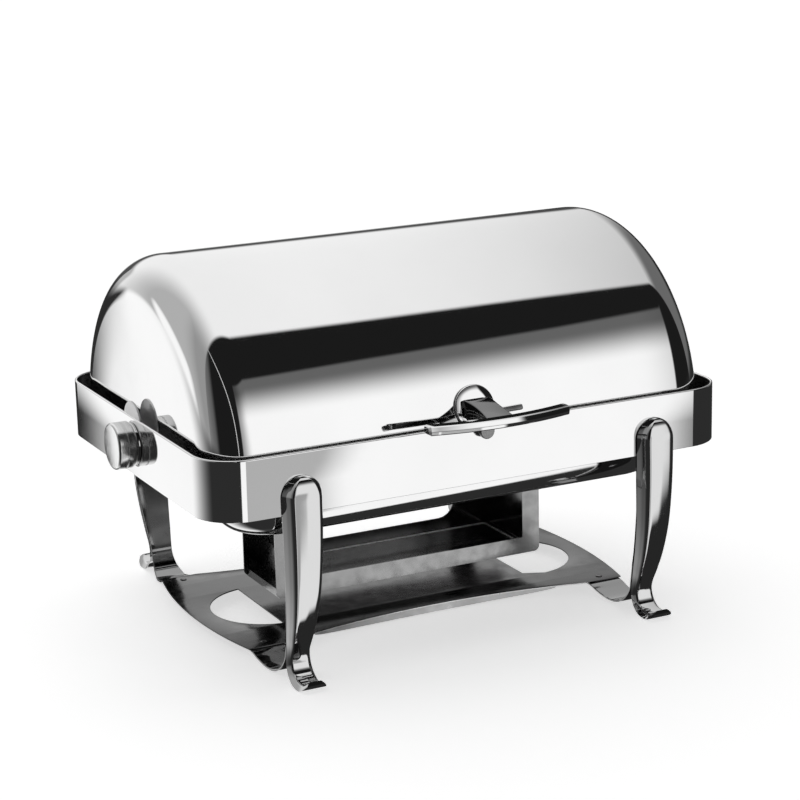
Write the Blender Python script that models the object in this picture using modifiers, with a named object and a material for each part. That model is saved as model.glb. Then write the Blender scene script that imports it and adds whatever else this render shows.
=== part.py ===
"""Roll-top chafing dish: a food warmer with a half-cylinder lid that rolls back under the pans.

Metres, +Z up.  X runs along the long side, and the handle is on the -Y side.  The parts are laid
out about the middle of the band, and moved at the end so that the origin is on the table, under
the middle of the whole footprint, handle and feet included.
"""
import math

import bmesh
import bpy
from mathutils import Matrix, Vector

# ---- driving dimensions (metres) ----
GAP = 0.0003                  # clearance between neighbours that touch
FOOTPRINT_SHIFT_Y = 0.0159    # from the middle of the whole footprint to the middle of the band

BAND_HALF_X = 0.335
BAND_HALF_Y = 0.240
BAND_CORNER = 0.052
BAND_BOTTOM = 0.203
BAND_TOP = 0.273
BAND_SHEET = 0.0014

PIVOT_Z = 0.240               # the lid rolls about a line along X at this height
PIN_RADIUS = 0.0045

LID_AXIS_Z = 0.232            # centre of the lid's arc
LID_RADIUS = 0.224
LID_HALF_X = 0.322
LID_FILLET = 0.050
LID_BOTTOM = 0.226
LID_SHEET = 0.0010

SHELF_TOP = 0.013
SHELF_SHEET = 0.0015
SHELF_HALF_X = 0.268          # at the middle of the bulging ends
SHELF_CORNER_X = 0.252
SHELF_TAB_X = 0.206           # where the concave long edge starts
SHELF_CORNER_Y = {-1: 0.130, 1: 0.150}     # the shelf reaches further back than forward
SHELF_WAIST_Y = {-1: 0.104, 1: 0.124}      # depth at the middle of the concave long edges
SHELF_LIP_HALF_X = 0.165
SHELF_LIP_DEPTH = 0.008
HOLE_CENTRE_X = 0.172         # the big round cut-outs, each closed by a straight inner edge
HOLE_RADIUS = 0.070
HOLE_INNER_X = {-1: 0.182, 1: 0.152}
HOLE_INNER_HALF_Y = 0.058

LEG_X = 0.228
FOOT_FLAT_HEIGHT = 0.0034     # middle of the foot's thickness where it stands flat
STRAP_SHEET = 0.0025
SCREW_RADIUS = 0.003
UPPER_SCREW_Z = 0.225
LOWER_RIVET_Z = 0.150
SHELF_RIVET_Y = {-1: 0.117, 1: 0.137}

BOX_HALF_X = 0.181
BOX_HALF_Y = 0.050
BOX_BOTTOM = 0.036
BOX_TOP = 0.158
BOX_CORNER = 0.007            # lower corners of the long walls
BOX_SHEET = 0.0015
BOX_END_X = 0.1575            # end panels stand inside the ends of the long walls
BOX_FLOOR_HALF_X = 0.177
FLOOR_LIP_TOP = 0.0455        # the floor is turned up at its two ends
WINDOW_HALF_X = 0.157
WINDOW_BOTTOM = 0.057
WINDOW_TOP = 0.132
BACK_CUT_HALF_X = 0.112
BACK_CUT_BOTTOM = 0.066
BACK_CUT_TOP = 0.125
NOTCH_RADIUS = 0.040          # round notch in the left end panel
NOTCH_CENTRE_Z = 0.120
TRAY_TOP = 0.0515
TRAY_SHEET = 0.0015

HANGER_X = 0.303              # outer face of the hanger's upright
HANGER_HALF_Y = 0.026
HANGER_SHEET = 0.003
HANGER_INNER_X = 0.120

WATER_HALF_X = 0.286
WATER_HALF_Y = 0.200
WATER_CORNER = 0.064
WATER_TOP = 0.262
WATER_BOTTOM = BOX_TOP + HANGER_SHEET + 2 * GAP    # the pan stands on the hangers
WATER_FILLET = 0.026
FOOD_HALF_X = 0.265
FOOD_HALF_Y = 0.1625
FOOD_DEPTH = 0.065
PAN_SHEET = 0.001

KNOB_RADIUS = 0.0275
KNOB_INNER_X = 0.3378
KNOB_OUTER_X = 0.360

DISC_RADIUS = 0.0275          # round plate inside each end of the band
DISC_Z = 0.263

ROSETTE_RADIUS = 0.0255
ROSETTE_Z = 0.287
BAR_HALF_X = 0.090
BAR_BOTTOM = 0.280
BAR_TOP = 0.2905
BAR_DEPTH = 0.0155
BAR_END_Y = 0.2815            # front of the bar at its ends
BAR_MID_Y = 0.2945            # front of the bar at its middle
TAB_BACK_Y = 0.2455           # the tab that carries the bumper
TAB_FRONT_Y = 0.2500
BUMPER_Z = 0.2655

ARC_STEPS = 8
ROUND_SEGMENTS = 24

SIDES = {"left": -1, "right": 1}
CORNERS = {
    "front_left": (-1, -1),
    "front_right": (1, -1),
    "back_left": (-1, 1),
    "back_right": (1, 1),
}

# Half of a leg's section from its back edge to its middle, as fractions of the half width and of
# the thickness.
LEG_HALF_SECTION = [
    (0.94, 0.0), (1.0, 0.10), (0.97, 0.36), (0.87, 0.76), (0.72, 0.95), (0.62, 0.985), (0.0, 1.0),
]
# Stations down a leg, then along its foot to the toe: distance outwards from the band's face,
# height, half width and thickness.
LEG_SHANK = [
    (0.0085, 0.222, 0.0245, 0.0155),
    (0.0085, 0.186, 0.0240, 0.0160),
    (0.0070, 0.150, 0.0230, 0.0160),
    (0.0035, 0.115, 0.0215, 0.0150),
    (-0.0040, 0.082, 0.0192, 0.0135),
    (-0.0130, 0.056, 0.0168, 0.0110),
    (-0.0200, 0.038, 0.0148, 0.0085),
]
LEG_FOOT = [
    (-0.0225, 0.025, 0.0148, 0.0075),
    (-0.0185, 0.013, 0.0154, 0.0070),
    (-0.0095, 0.0055, 0.0160, 0.0068),
    (0.0000, FOOT_FLAT_HEIGHT, 0.0162, 0.0068),
    (0.0080, FOOT_FLAT_HEIGHT, 0.0160, 0.0068),
    (0.0150, 0.0062, 0.0148, 0.0058),
    (0.0205, 0.0110, 0.0110, 0.0048),
]
# A strap's middle line: distance from the middle of the object, height and half width.
STRAP_UNDER_SHELF = {
    -1: [(0.1020, 0.0097, 0.0220), (0.1310, 0.0097, 0.0220), (0.1480, 0.0060, 0.0215),
         (0.1700, 0.0030, 0.0200)],
    1: [(0.1220, 0.0097, 0.0220), (0.1510, 0.0097, 0.0220), (0.1640, 0.0060, 0.0215),
        (0.1800, 0.0032, 0.0195)],
}
STRAP_RISING = [
    (0.1880, 0.0055, 0.0180),
    (0.2010, 0.0130, 0.0155),
    (0.2090, 0.0250, 0.0138),
    (0.2120, 0.0380, 0.0138),
    (0.2175, 0.0560, 0.0155),
    (0.2258, 0.0820, 0.0178),
    (0.2330, 0.1150, 0.0200),
    (0.2366, 0.1420, 0.0213),
    (0.2366, 0.2050, 0.0225),
    (0.2366, 0.2380, 0.0225),
]


# ---- scene, materials and small helpers ----
def clear_scene():
    for item in list(bpy.data.objects):
        bpy.data.objects.remove(item, do_unlink=True)


def new_collection(name):
    collection = bpy.data.collections.new(name)
    bpy.context.scene.collection.children.link(collection)
    return collection


def new_material(name, colour, roughness, metallic):
    material = bpy.data.materials.new(name)
    material.use_nodes = True
    shader = material.node_tree.nodes["Principled BSDF"]
    shader.inputs["Base Color"].default_value = (*colour, 1.0)
    shader.inputs["Roughness"].default_value = roughness
    shader.inputs["Metallic"].default_value = metallic
    return material


def polished(name):
    return new_material(name, (0.80, 0.80, 0.81), 0.06, 1.0)


def satin(name):
    return new_material(name, (0.62, 0.62, 0.63), 0.32, 1.0)


def rubber(name):
    return new_material(name, (0.05, 0.05, 0.05), 0.60, 0.0)


def nylon(name):
    return new_material(name, (0.85, 0.85, 0.82), 0.45, 0.0)


def add_part(name, mesh, material, location=(0, 0, 0), rotation=(0, 0, 0)):
    part = bpy.data.objects.new(name, mesh)
    part.location = location
    part.rotation_euler = rotation
    mesh.materials.clear()
    mesh.materials.append(material)
    parts.objects.link(part)
    return part


def add_cutter(name, mesh):
    cutter = bpy.data.objects.new(name, mesh)
    cutter.hide_render = True
    cutter.display_type = "WIRE"
    cutters.objects.link(cutter)
    return cutter


def mesh_from(bm, name, smooth=False):
    bmesh.ops.recalc_face_normals(bm, faces=bm.faces)
    mesh = bpy.data.meshes.new(name)
    bm.to_mesh(mesh)
    bm.free()
    if smooth:
        mesh.shade_smooth()
        mesh.set_sharp_from_angle(angle=math.radians(35))
    return mesh


def box_mesh(name, low, high):
    bm = bmesh.new()
    size = [high[i] - low[i] for i in range(3)]
    middle = [(high[i] + low[i]) / 2 for i in range(3)]
    matrix = Matrix.Translation(middle) @ Matrix.Diagonal((*size, 1.0))
    bmesh.ops.create_cube(bm, size=1.0, matrix=matrix)
    return mesh_from(bm, name)


def axis_matrix(axis, middle):
    turn = {
        "X": Matrix.Rotation(math.pi / 2, 4, "Y"),
        "Y": Matrix.Rotation(math.pi / 2, 4, "X"),
        "Z": Matrix.Identity(4),
    }[axis]
    return Matrix.Translation(middle) @ turn


def cylinder_mesh(name, radius, length, axis, middle, segments=ROUND_SEGMENTS):
    bm = bmesh.new()
    bmesh.ops.create_cone(
        bm, cap_ends=True, segments=segments, radius1=radius, radius2=radius, depth=length,
        matrix=axis_matrix(axis, middle),
    )
    return mesh_from(bm, name, smooth=True)


def boolean(part, other, operation):
    modifier = part.modifiers.new(operation.title(), "BOOLEAN")
    modifier.operation = operation
    modifier.solver = "EXACT"
    modifier.object = other


def drill(part, name, radius, length, axis, middle):
    mesh = cylinder_mesh(name, radius, length, axis, middle, segments=16)
    boolean(part, add_cutter(name, mesh), "DIFFERENCE")


def solidify(part, thickness, offset):
    modifier = part.modifiers.new("Sheet", "SOLIDIFY")
    modifier.thickness = thickness
    modifier.offset = offset
    modifier.use_even_offset = True


def revolved(name, profile, material, location, side):
    """A turned piece: profile is (radius, height) down its outer side, turned about Z."""
    bm = bmesh.new()
    verts = [bm.verts.new((radius, 0.0, height)) for radius, height in profile]
    for first, second in zip(verts, verts[1:]):
        bm.edges.new((first, second))
    mesh = bpy.data.meshes.new(name)
    bm.to_mesh(mesh)
    bm.free()
    part = add_part(name, mesh, material, location, (0, side * math.pi / 2, 0))
    screw = part.modifiers.new("Turn", "SCREW")
    screw.axis = "Z"
    screw.steps = ROUND_SEGMENTS
    screw.render_steps = ROUND_SEGMENTS
    screw.use_merge_vertices = True
    screw.merge_threshold = 0.00001
    screw.use_smooth_shade = True
    return part


# ---- outlines ----
def rounded_rectangle(half_x, half_y, radius, steps=ARC_STEPS):
    points = []
    for quarter, (sx, sy) in enumerate(((1, 1), (-1, 1), (-1, -1), (1, -1))):
        for step in range(steps + 1):
            angle = math.pi / 2 * (quarter + step / steps)
            x = sx * (half_x - radius) + radius * math.cos(angle)
            y = sy * (half_y - radius) + radius * math.sin(angle)
            points.append((x, y))
    return points


def arc_through(start, middle, end, steps):
    """Points on the circle through three points, from start to end."""
    a, b, c = (Vector(point) for point in (start, middle, end))
    d = 2 * (a.x * (b.y - c.y) + b.x * (c.y - a.y) + c.x * (a.y - b.y))
    centre_x = (a.length_squared * (b.y - c.y) + b.length_squared * (c.y - a.y)
                + c.length_squared * (a.y - b.y)) / d
    centre_y = (a.length_squared * (c.x - b.x) + b.length_squared * (a.x - c.x)
                + c.length_squared * (b.x - a.x)) / d
    centre = Vector((centre_x, centre_y))
    radius = (a - centre).length
    first = (a - centre).angle_signed(b - centre)
    total = first + (b - centre).angle_signed(c - centre)
    begin = math.atan2(a.y - centre.y, a.x - centre.x)
    points = []
    for step in range(steps + 1):
        angle = begin - total * step / steps
        points.append((centre.x + radius * math.cos(angle), centre.y + radius * math.sin(angle)))
    return points


def plate_mesh(name, outline, bottom, top):
    """A flat plate with this outline, between two heights."""
    bm = bmesh.new()
    face = bm.faces.new([bm.verts.new((x, y, bottom)) for x, y in outline])
    grown = bmesh.ops.extrude_face_region(bm, geom=[face])
    raised = [item for item in grown["geom"] if isinstance(item, bmesh.types.BMVert)]
    bmesh.ops.translate(bm, verts=raised, vec=(0, 0, top - bottom))
    return mesh_from(bm, name)


def bridge(bm, first, second, closed=True):
    count = len(first)
    for index in range(count if closed else count - 1):
        following = (index + 1) % count
        bm.faces.new((first[index], first[following], second[following], second[index]))


def ring(bm, outline, height):
    return [bm.verts.new((x, y, height)) for x, y in outline]


# ---- frame: band, legs, straps, shelf ----
def make_band():
    bm = bmesh.new()
    outline = rounded_rectangle(BAND_HALF_X, BAND_HALF_Y, BAND_CORNER)
    bridge(bm, ring(bm, outline, BAND_BOTTOM), ring(bm, outline, BAND_TOP))
    band = add_part("band", mesh_from(bm, "band", smooth=True), polished("band_steel"))
    solidify(band, BAND_SHEET, -1.0)
    for name, side in SIDES.items():
        drill(band, f"pin_hole_{name}", PIN_RADIUS + GAP, 0.02, "X",
              (side * BAND_HALF_X, 0, PIVOT_Z))
    for name, (sx, sy) in CORNERS.items():
        drill(band, f"screw_hole_{name}", SCREW_RADIUS + GAP, 0.02, "Y",
              (sx * LEG_X, sy * BAND_HALF_Y, UPPER_SCREW_Z))


def leg_section(half_width, thickness):
    """Flat towards the middle of the object, rounded sides, nearly flat outwards."""
    half = [(half_width * across, thickness * (depth - 0.5)) for across, depth in LEG_HALF_SECTION]
    return half + [(-across, depth) for across, depth in reversed(half[:-1])]


def leg_stations():
    """The dome, the shank and the foot as (outwards, height, half width, thickness)."""
    out, height, half_width, thickness = LEG_SHANK[0]
    flat_back = out - thickness / 2
    dome = []
    for degrees in (82, 60, 40, 20):
        angle = math.radians(degrees)
        depth = max(thickness * math.cos(angle) ** 0.6, thickness * 0.30)
        station = (flat_back + depth / 2, height + half_width * math.sin(angle),
                   half_width * math.cos(angle), depth)
        dome.append(station)
    return dome + LEG_SHANK + LEG_FOOT


def leg_mesh():
    """One leg, standing at the origin's X with +Y outwards."""
    stations = leg_stations()
    bm = bmesh.new()
    rings = []
    for index, (out, height, half_width, thickness) in enumerate(stations):
        before = stations[max(index - 1, 0)]
        after = stations[min(index + 1, len(stations) - 1)]
        along = Vector((0, after[0] - before[0], after[1] - before[1])).normalized()
        if height > LEG_SHANK[1][1]:
            along = Vector((0, 0, -1))
        if height == FOOT_FLAT_HEIGHT:
            along = Vector((0, 1, 0))
        outwards = Vector((0, -along.z, along.y))
        centre = Vector((0, out, height))
        points = [centre + Vector((across, 0, 0)) + outwards * depth
                  for across, depth in leg_section(half_width, thickness)]
        rings.append([bm.verts.new(point) for point in points])
    for first, second in zip(rings, rings[1:]):
        bridge(bm, first, second)
    bm.faces.new(rings[0])
    bm.faces.new(rings[-1])
    bmesh.ops.triangulate(bm, faces=bm.faces)
    lowest = min(vert.co.z for vert in bm.verts)
    bmesh.ops.translate(bm, verts=bm.verts, vec=(0, 0, -lowest))
    return mesh_from(bm, "leg", smooth=True)


def make_legs():
    for name, (sx, sy) in CORNERS.items():
        turn = 0.0 if sy > 0 else math.pi
        leg = add_part(f"leg_{name}", leg_mesh(), polished(f"leg_{name}_chrome"),
                       (sx * LEG_X, sy * (BAND_HALF_Y + 2 * GAP), 0), (0, 0, turn))
        drill(leg, f"leg_upper_{name}", SCREW_RADIUS + GAP, 0.020, "Y",
              (sx * LEG_X, sy * BAND_HALF_Y, UPPER_SCREW_Z))
        drill(leg, f"leg_lower_{name}", SCREW_RADIUS + GAP, 0.020, "Y",
              (sx * LEG_X, sy * (BAND_HALF_Y - 0.001), LOWER_RIVET_Z))


def make_straps():
    for name, (sx, sy) in CORNERS.items():
        bm = bmesh.new()
        left, right = [], []
        for out, height, half_width in STRAP_UNDER_SHELF[sy] + STRAP_RISING:
            left.append(bm.verts.new((sx * LEG_X - half_width, sy * out, height)))
            right.append(bm.verts.new((sx * LEG_X + half_width, sy * out, height)))
        bridge(bm, left, right, closed=False)
        strap = add_part(f"strap_{name}", mesh_from(bm, f"strap_{name}", smooth=True),
                         polished(f"strap_{name}_steel"))
        solidify(strap, STRAP_SHEET, 0.0)
        for hole, height in (("upper", UPPER_SCREW_Z), ("lower", LOWER_RIVET_Z)):
            drill(strap, f"strap_{hole}_{name}", SCREW_RADIUS + GAP, 0.02, "Y",
                  (sx * LEG_X, sy * BAND_HALF_Y, height))
        drill(strap, f"strap_floor_{name}", SCREW_RADIUS + GAP, 0.02, "Z",
              (sx * LEG_X, sy * SHELF_RIVET_Y[sy], SHELF_TOP))


def headed_pin(name, radius, length, head_radius, head, direction, base, material):
    """A screw or rivet: its shank runs from base along direction, its head sits behind base."""
    profile = [(0.0, -head), (head_radius * 0.7, -head), (head_radius, -head * 0.5),
               (head_radius, 0.0), (radius, 0.0), (radius, length), (0.0, length)]
    bm = bmesh.new()
    verts = [bm.verts.new((r, 0.0, -z)) for r, z in profile]
    for first, second in zip(verts, verts[1:]):
        bm.edges.new((first, second))
    turn = Vector((0, 0, -1)).rotation_difference(Vector(direction)).to_matrix().to_4x4()
    bmesh.ops.spin(bm, geom=bm.verts[:] + bm.edges[:], axis=(0, 0, 1), cent=(0, 0, 0),
                   angle=2 * math.pi, steps=12, use_merge=True)
    bmesh.ops.remove_doubles(bm, verts=bm.verts, dist=0.00001)
    bmesh.ops.transform(bm, matrix=turn, verts=bm.verts)
    return add_part(name, mesh_from(bm, name, smooth=True), material, base)


def make_leg_screws():
    inner_face = BAND_HALF_Y - 0.0034 - STRAP_SHEET / 2 - GAP
    for name, (sx, sy) in CORNERS.items():
        outwards = (0, sy, 0)
        headed_pin(f"leg_screw_{name}", SCREW_RADIUS, 0.010, 0.0060, 0.0028, outwards,
                   (sx * LEG_X, sy * inner_face, UPPER_SCREW_Z), satin(f"screw_{name}_steel"))
        headed_pin(f"leg_rivet_{name}", SCREW_RADIUS, 0.009, 0.0055, 0.0022, outwards,
                   (sx * LEG_X, sy * (inner_face - 0.0001), LOWER_RIVET_Z),
                   polished(f"rivet_{name}_steel"))
        headed_pin(f"shelf_rivet_{name}", SCREW_RADIUS * 0.8, 0.0046, 0.0040, 0.0008, (0, 0, -1),
                   (sx * LEG_X, sy * SHELF_RIVET_Y[sy], SHELF_TOP + GAP),
                   satin(f"shelf_rivet_{name}_steel"))


def shelf_outline():
    points = []
    front, back = -SHELF_CORNER_Y[-1], SHELF_CORNER_Y[1]
    points += arc_through((SHELF_CORNER_X, front), (SHELF_HALF_X, 0), (SHELF_CORNER_X, back), 10)
    points += arc_through((SHELF_TAB_X, back), (0, SHELF_WAIST_Y[1]), (-SHELF_TAB_X, back), 18)
    points += arc_through((-SHELF_CORNER_X, back), (-SHELF_HALF_X, 0), (-SHELF_CORNER_X, front), 10)
    points += arc_through((-SHELF_TAB_X, front), (0, -SHELF_WAIST_Y[-1]), (SHELF_TAB_X, front), 18)
    return points


def hole_outline(side):
    """A round hole closed towards the middle by a straight edge with drawn-in corners."""
    inner = HOLE_INNER_X[side]
    lead = min(math.radians(86), math.acos((inner - HOLE_CENTRE_X) / HOLE_RADIUS))
    points = []
    for step in range(17):
        angle = -lead + 2 * lead * step / 16
        points.append((HOLE_CENTRE_X + HOLE_RADIUS * math.cos(angle), HOLE_RADIUS * math.sin(angle)))
    if inner < HOLE_CENTRE_X:
        points.append((inner, HOLE_INNER_HALF_Y))
        points.append((inner, -HOLE_INNER_HALF_Y))
    return [(side * x, y) for x, y in points]


def lip_mesh(name, sy):
    """The turned-down lip below a concave long edge: deepest in the middle, nothing at its ends."""
    steps = 14
    corner_y = SHELF_CORNER_Y[sy]
    edge = arc_through((-SHELF_TAB_X, corner_y), (0, SHELF_WAIST_Y[sy]), (SHELF_TAB_X, corner_y), 60)
    span = [point for point in edge if abs(point[0]) <= SHELF_LIP_HALF_X]
    stations = [span[round(i * (len(span) - 1) / steps)] for i in range(steps + 1)]
    bm = bmesh.new()
    rings = []
    for x, y in stations:
        depth = SHELF_LIP_DEPTH * math.cos(math.pi / 2 * x / SHELF_LIP_HALF_X) ** 0.5 + 0.0005
        low = SHELF_TOP - SHELF_SHEET - depth
        outer = y - 0.0002
        inner = y - SHELF_SHEET
        corners = ((outer, SHELF_TOP - 0.0004), (inner, SHELF_TOP - 0.0004), (inner, low), (outer, low))
        rings.append([bm.verts.new((x, sy * where, height)) for where, height in corners])
    for first, second in zip(rings, rings[1:]):
        bridge(bm, first, second)
    bm.faces.new(rings[0])
    bm.faces.new(rings[-1])
    return mesh_from(bm, name)


def make_shelf():
    mesh = plate_mesh("shelf", shelf_outline(), SHELF_TOP - SHELF_SHEET, SHELF_TOP)
    shelf = add_part("shelf", mesh, polished("shelf_steel"))
    for name, side in SIDES.items():
        hole = plate_mesh(f"shelf_hole_{name}", hole_outline(side), 0.0, SHELF_TOP + 0.01)
        boolean(shelf, add_cutter(f"shelf_hole_{name}", hole), "DIFFERENCE")
    for name, sy in (("front", -1), ("back", 1)):
        boolean(shelf, add_cutter(f"shelf_lip_{name}", lip_mesh(f"shelf_lip_{name}", sy)), "UNION")
    for name, (sx, sy) in CORNERS.items():
        drill(shelf, f"shelf_rivet_hole_{name}", SCREW_RADIUS + GAP, 0.02, "Z",
              (sx * LEG_X, sy * SHELF_RIVET_Y[sy], SHELF_TOP))


# ---- ends: round plates, pins, base rings, knobs ----
def make_ends():
    inner_face = BAND_HALF_X - BAND_SHEET - GAP
    for name, side in SIDES.items():
        plate = add_part(f"end_plate_{name}",
                         cylinder_mesh(f"end_plate_{name}", DISC_RADIUS, 0.003, "X",
                                       (side * (inner_face - 0.0015), 0, DISC_Z), 40),
                         polished(f"end_plate_{name}_chrome"))
        drill(plate, f"end_plate_hole_{name}", PIN_RADIUS + GAP, 0.02, "X",
              (side * BAND_HALF_X, 0, PIVOT_Z))
        pin_inner = HANGER_X - 0.010
        pin_outer = KNOB_INNER_X + 0.012
        add_part(f"pivot_pin_{name}",
                 cylinder_mesh(f"pivot_pin_{name}", PIN_RADIUS, pin_outer - pin_inner, "X",
                               (side * (pin_outer + pin_inner) / 2, 0, PIVOT_Z), 20),
                 satin(f"pivot_pin_{name}_steel"))
        base = add_part(f"knob_base_{name}",
                        cylinder_mesh(f"knob_base_{name}", KNOB_RADIUS - 0.002, 0.0018, "X",
                                      (side * (BAND_HALF_X + GAP + 0.0009), 0, PIVOT_Z), 32),
                        polished(f"knob_base_{name}_chrome"))
        drill(base, f"knob_base_hole_{name}", PIN_RADIUS + GAP, 0.02, "X",
              (side * BAND_HALF_X, 0, PIVOT_Z))


def make_knobs():
    length = KNOB_OUTER_X - KNOB_INNER_X
    bore = 0.0125
    profile = [
        (0.0, length), (KNOB_RADIUS - 0.0055, length), (KNOB_RADIUS - 0.0022, length - 0.0016),
        (KNOB_RADIUS, length - 0.0050), (KNOB_RADIUS, 0.0135), (KNOB_RADIUS - 0.0008, 0.0130),
        (KNOB_RADIUS - 0.0008, 0.0120), (KNOB_RADIUS, 0.0115), (KNOB_RADIUS, 0.0012),
        (KNOB_RADIUS - 0.0012, 0.0), (PIN_RADIUS + GAP, 0.0), (PIN_RADIUS + GAP, bore), (0.0, bore),
    ]
    for name, side in SIDES.items():
        revolved(f"knob_{name}", profile, satin(f"knob_{name}_brushed"),
                 (side * KNOB_INNER_X, 0, PIVOT_Z), side)


# ---- lid and its handle ----
def lid_profile(steps=6):
    """Half the lid's outline in (x, radius), from its middle to the centre of its flat end."""
    points = [(0.0, LID_RADIUS)]
    for step in range(steps + 1):
        angle = math.pi / 2 * step / steps
        points.append((LID_HALF_X - LID_FILLET + LID_FILLET * math.sin(angle),
                       LID_RADIUS - LID_FILLET + LID_FILLET * math.cos(angle)))
    points.append((LID_HALF_X, 0.0))
    return points


def lid_mesh():
    half = lid_profile()
    full = [(-x, radius) for x, radius in reversed(half[1:])] + half
    bm = bmesh.new()
    verts = [bm.verts.new((x, -radius, LID_AXIS_Z)) for x, radius in full]
    edges = [bm.edges.new((a, b)) for a, b in zip(verts, verts[1:])]
    bmesh.ops.spin(bm, geom=verts + edges, axis=(1, 0, 0), cent=(0, 0, LID_AXIS_Z),
                   angle=-math.pi, steps=28)
    bmesh.ops.remove_doubles(bm, verts=bm.verts, dist=0.00001)
    rim = [edge for edge in bm.edges if edge.is_boundary]
    skirt = bmesh.ops.extrude_edge_only(bm, edges=rim)
    lowered = [item for item in skirt["geom"] if isinstance(item, bmesh.types.BMVert)]
    bmesh.ops.translate(bm, verts=lowered, vec=(0, 0, LID_BOTTOM - LID_AXIS_Z))
    bmesh.ops.recalc_face_normals(bm, faces=bm.faces)
    return mesh_from(bm, "lid", smooth=True)


def rosette_place():
    """The point on the lid's front surface where the rosette sits, and the tilt of its face."""
    rise = ROSETTE_Z - LID_AXIS_Z
    reach = math.sqrt(LID_RADIUS ** 2 - rise ** 2)
    return reach, math.atan2(rise, reach)


def make_lid():
    lid = add_part("lid", lid_mesh(), polished("lid_steel"), (0, 0, 0))
    solidify(lid, LID_SHEET, -1.0)
    for name, side in SIDES.items():
        drill(lid, f"lid_bush_hole_{name}", 0.0075 + GAP, 0.02, "X", (side * LID_HALF_X, 0, PIVOT_Z))
        hub_x = LID_HALF_X - LID_SHEET - GAP - 0.0015
        hub = add_part(f"lid_hub_{name}",
                       cylinder_mesh(f"lid_hub_{name}", 0.013, 0.003, "X",
                                     (side * hub_x, 0, PIVOT_Z), 24),
                       satin(f"lid_hub_{name}_steel"))
        drill(hub, f"lid_hub_hole_{name}", 0.0075 + GAP, 0.02, "X", (side * LID_HALF_X, 0, PIVOT_Z))
        make_bush(name, side)


def make_bush(name, side):
    """A flanged plain bush in the lid's end, turning on the pivot pin."""
    inner = PIN_RADIUS + GAP
    profile = [(inner, 0.0080), (0.0110, 0.0080), (0.0110, 0.0065 - GAP), (0.0075, 0.0065 - GAP),
               (0.0075, 0.0), (inner, 0.0), (inner, 0.0080)]
    revolved(f"lid_bush_{name}", profile, nylon(f"lid_bush_{name}_nylon"),
             (side * (LID_HALF_X - 0.0060), 0, PIVOT_Z), side)


def make_handle():
    reach, tilt = rosette_place()
    rosette_thickness = 0.0035
    add_part("handle_rosette",
             cylinder_mesh("handle_rosette", ROSETTE_RADIUS, rosette_thickness, "Y", (0, 0, 0), 40),
             polished("handle_rosette_chrome"),
             (0, -(reach + (GAP + rosette_thickness / 2) * math.cos(tilt)),
              ROSETTE_Z + (GAP + rosette_thickness / 2) * math.sin(tilt)), (-tilt, 0, 0))
    bracket_back = reach + 0.0085
    bracket_front = BAR_MID_Y - BAR_DEPTH - 3 * GAP
    bracket_bottom = BAR_BOTTOM - 0.0025
    bracket = add_part("handle_bracket",
                       box_mesh("handle_bracket", (-0.017, -bracket_front, bracket_bottom),
                                (0.017, -bracket_back, BAR_TOP + 0.0055)),
                       polished("handle_bracket_chrome"))
    tab = box_mesh("bracket_tab", (-0.007, -TAB_FRONT_Y, BUMPER_Z - 0.0055),
                   (0.007, -TAB_BACK_Y, bracket_bottom + 0.002))
    boolean(bracket, add_cutter("bracket_tab", tab), "UNION")
    bumper_length = 0.0040
    add_part("handle_bumper",
             cylinder_mesh("handle_bumper", 0.0085, bumper_length, "Y",
                           (0, -(TAB_BACK_Y - GAP - bumper_length / 2), BUMPER_Z), 24),
             rubber("handle_bumper_rubber"))
    make_bar()
    for name, side in SIDES.items():
        nut_reach = reach - LID_SHEET - 0.0028
        add_part(f"handle_nut_{name}",
                 cylinder_mesh(f"handle_nut_{name}", 0.0055, 0.0030, "Y", (0, 0, 0), 6),
                 satin(f"handle_nut_{name}_steel"),
                 (side * 0.010, -nut_reach, ROSETTE_Z), (-tilt, 0, 0))


def make_bar():
    front = arc_through((-BAR_HALF_X, -BAR_END_Y), (0, -BAR_MID_Y), (BAR_HALF_X, -BAR_END_Y), 16)
    back = arc_through((BAR_HALF_X, BAR_DEPTH - BAR_END_Y), (0, BAR_DEPTH - BAR_MID_Y),
                       (-BAR_HALF_X, BAR_DEPTH - BAR_END_Y), 16)
    mesh = plate_mesh("handle_bar", front + back, BAR_BOTTOM, BAR_TOP)
    add_part("handle_bar", mesh, polished("handle_bar_chrome"))


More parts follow.
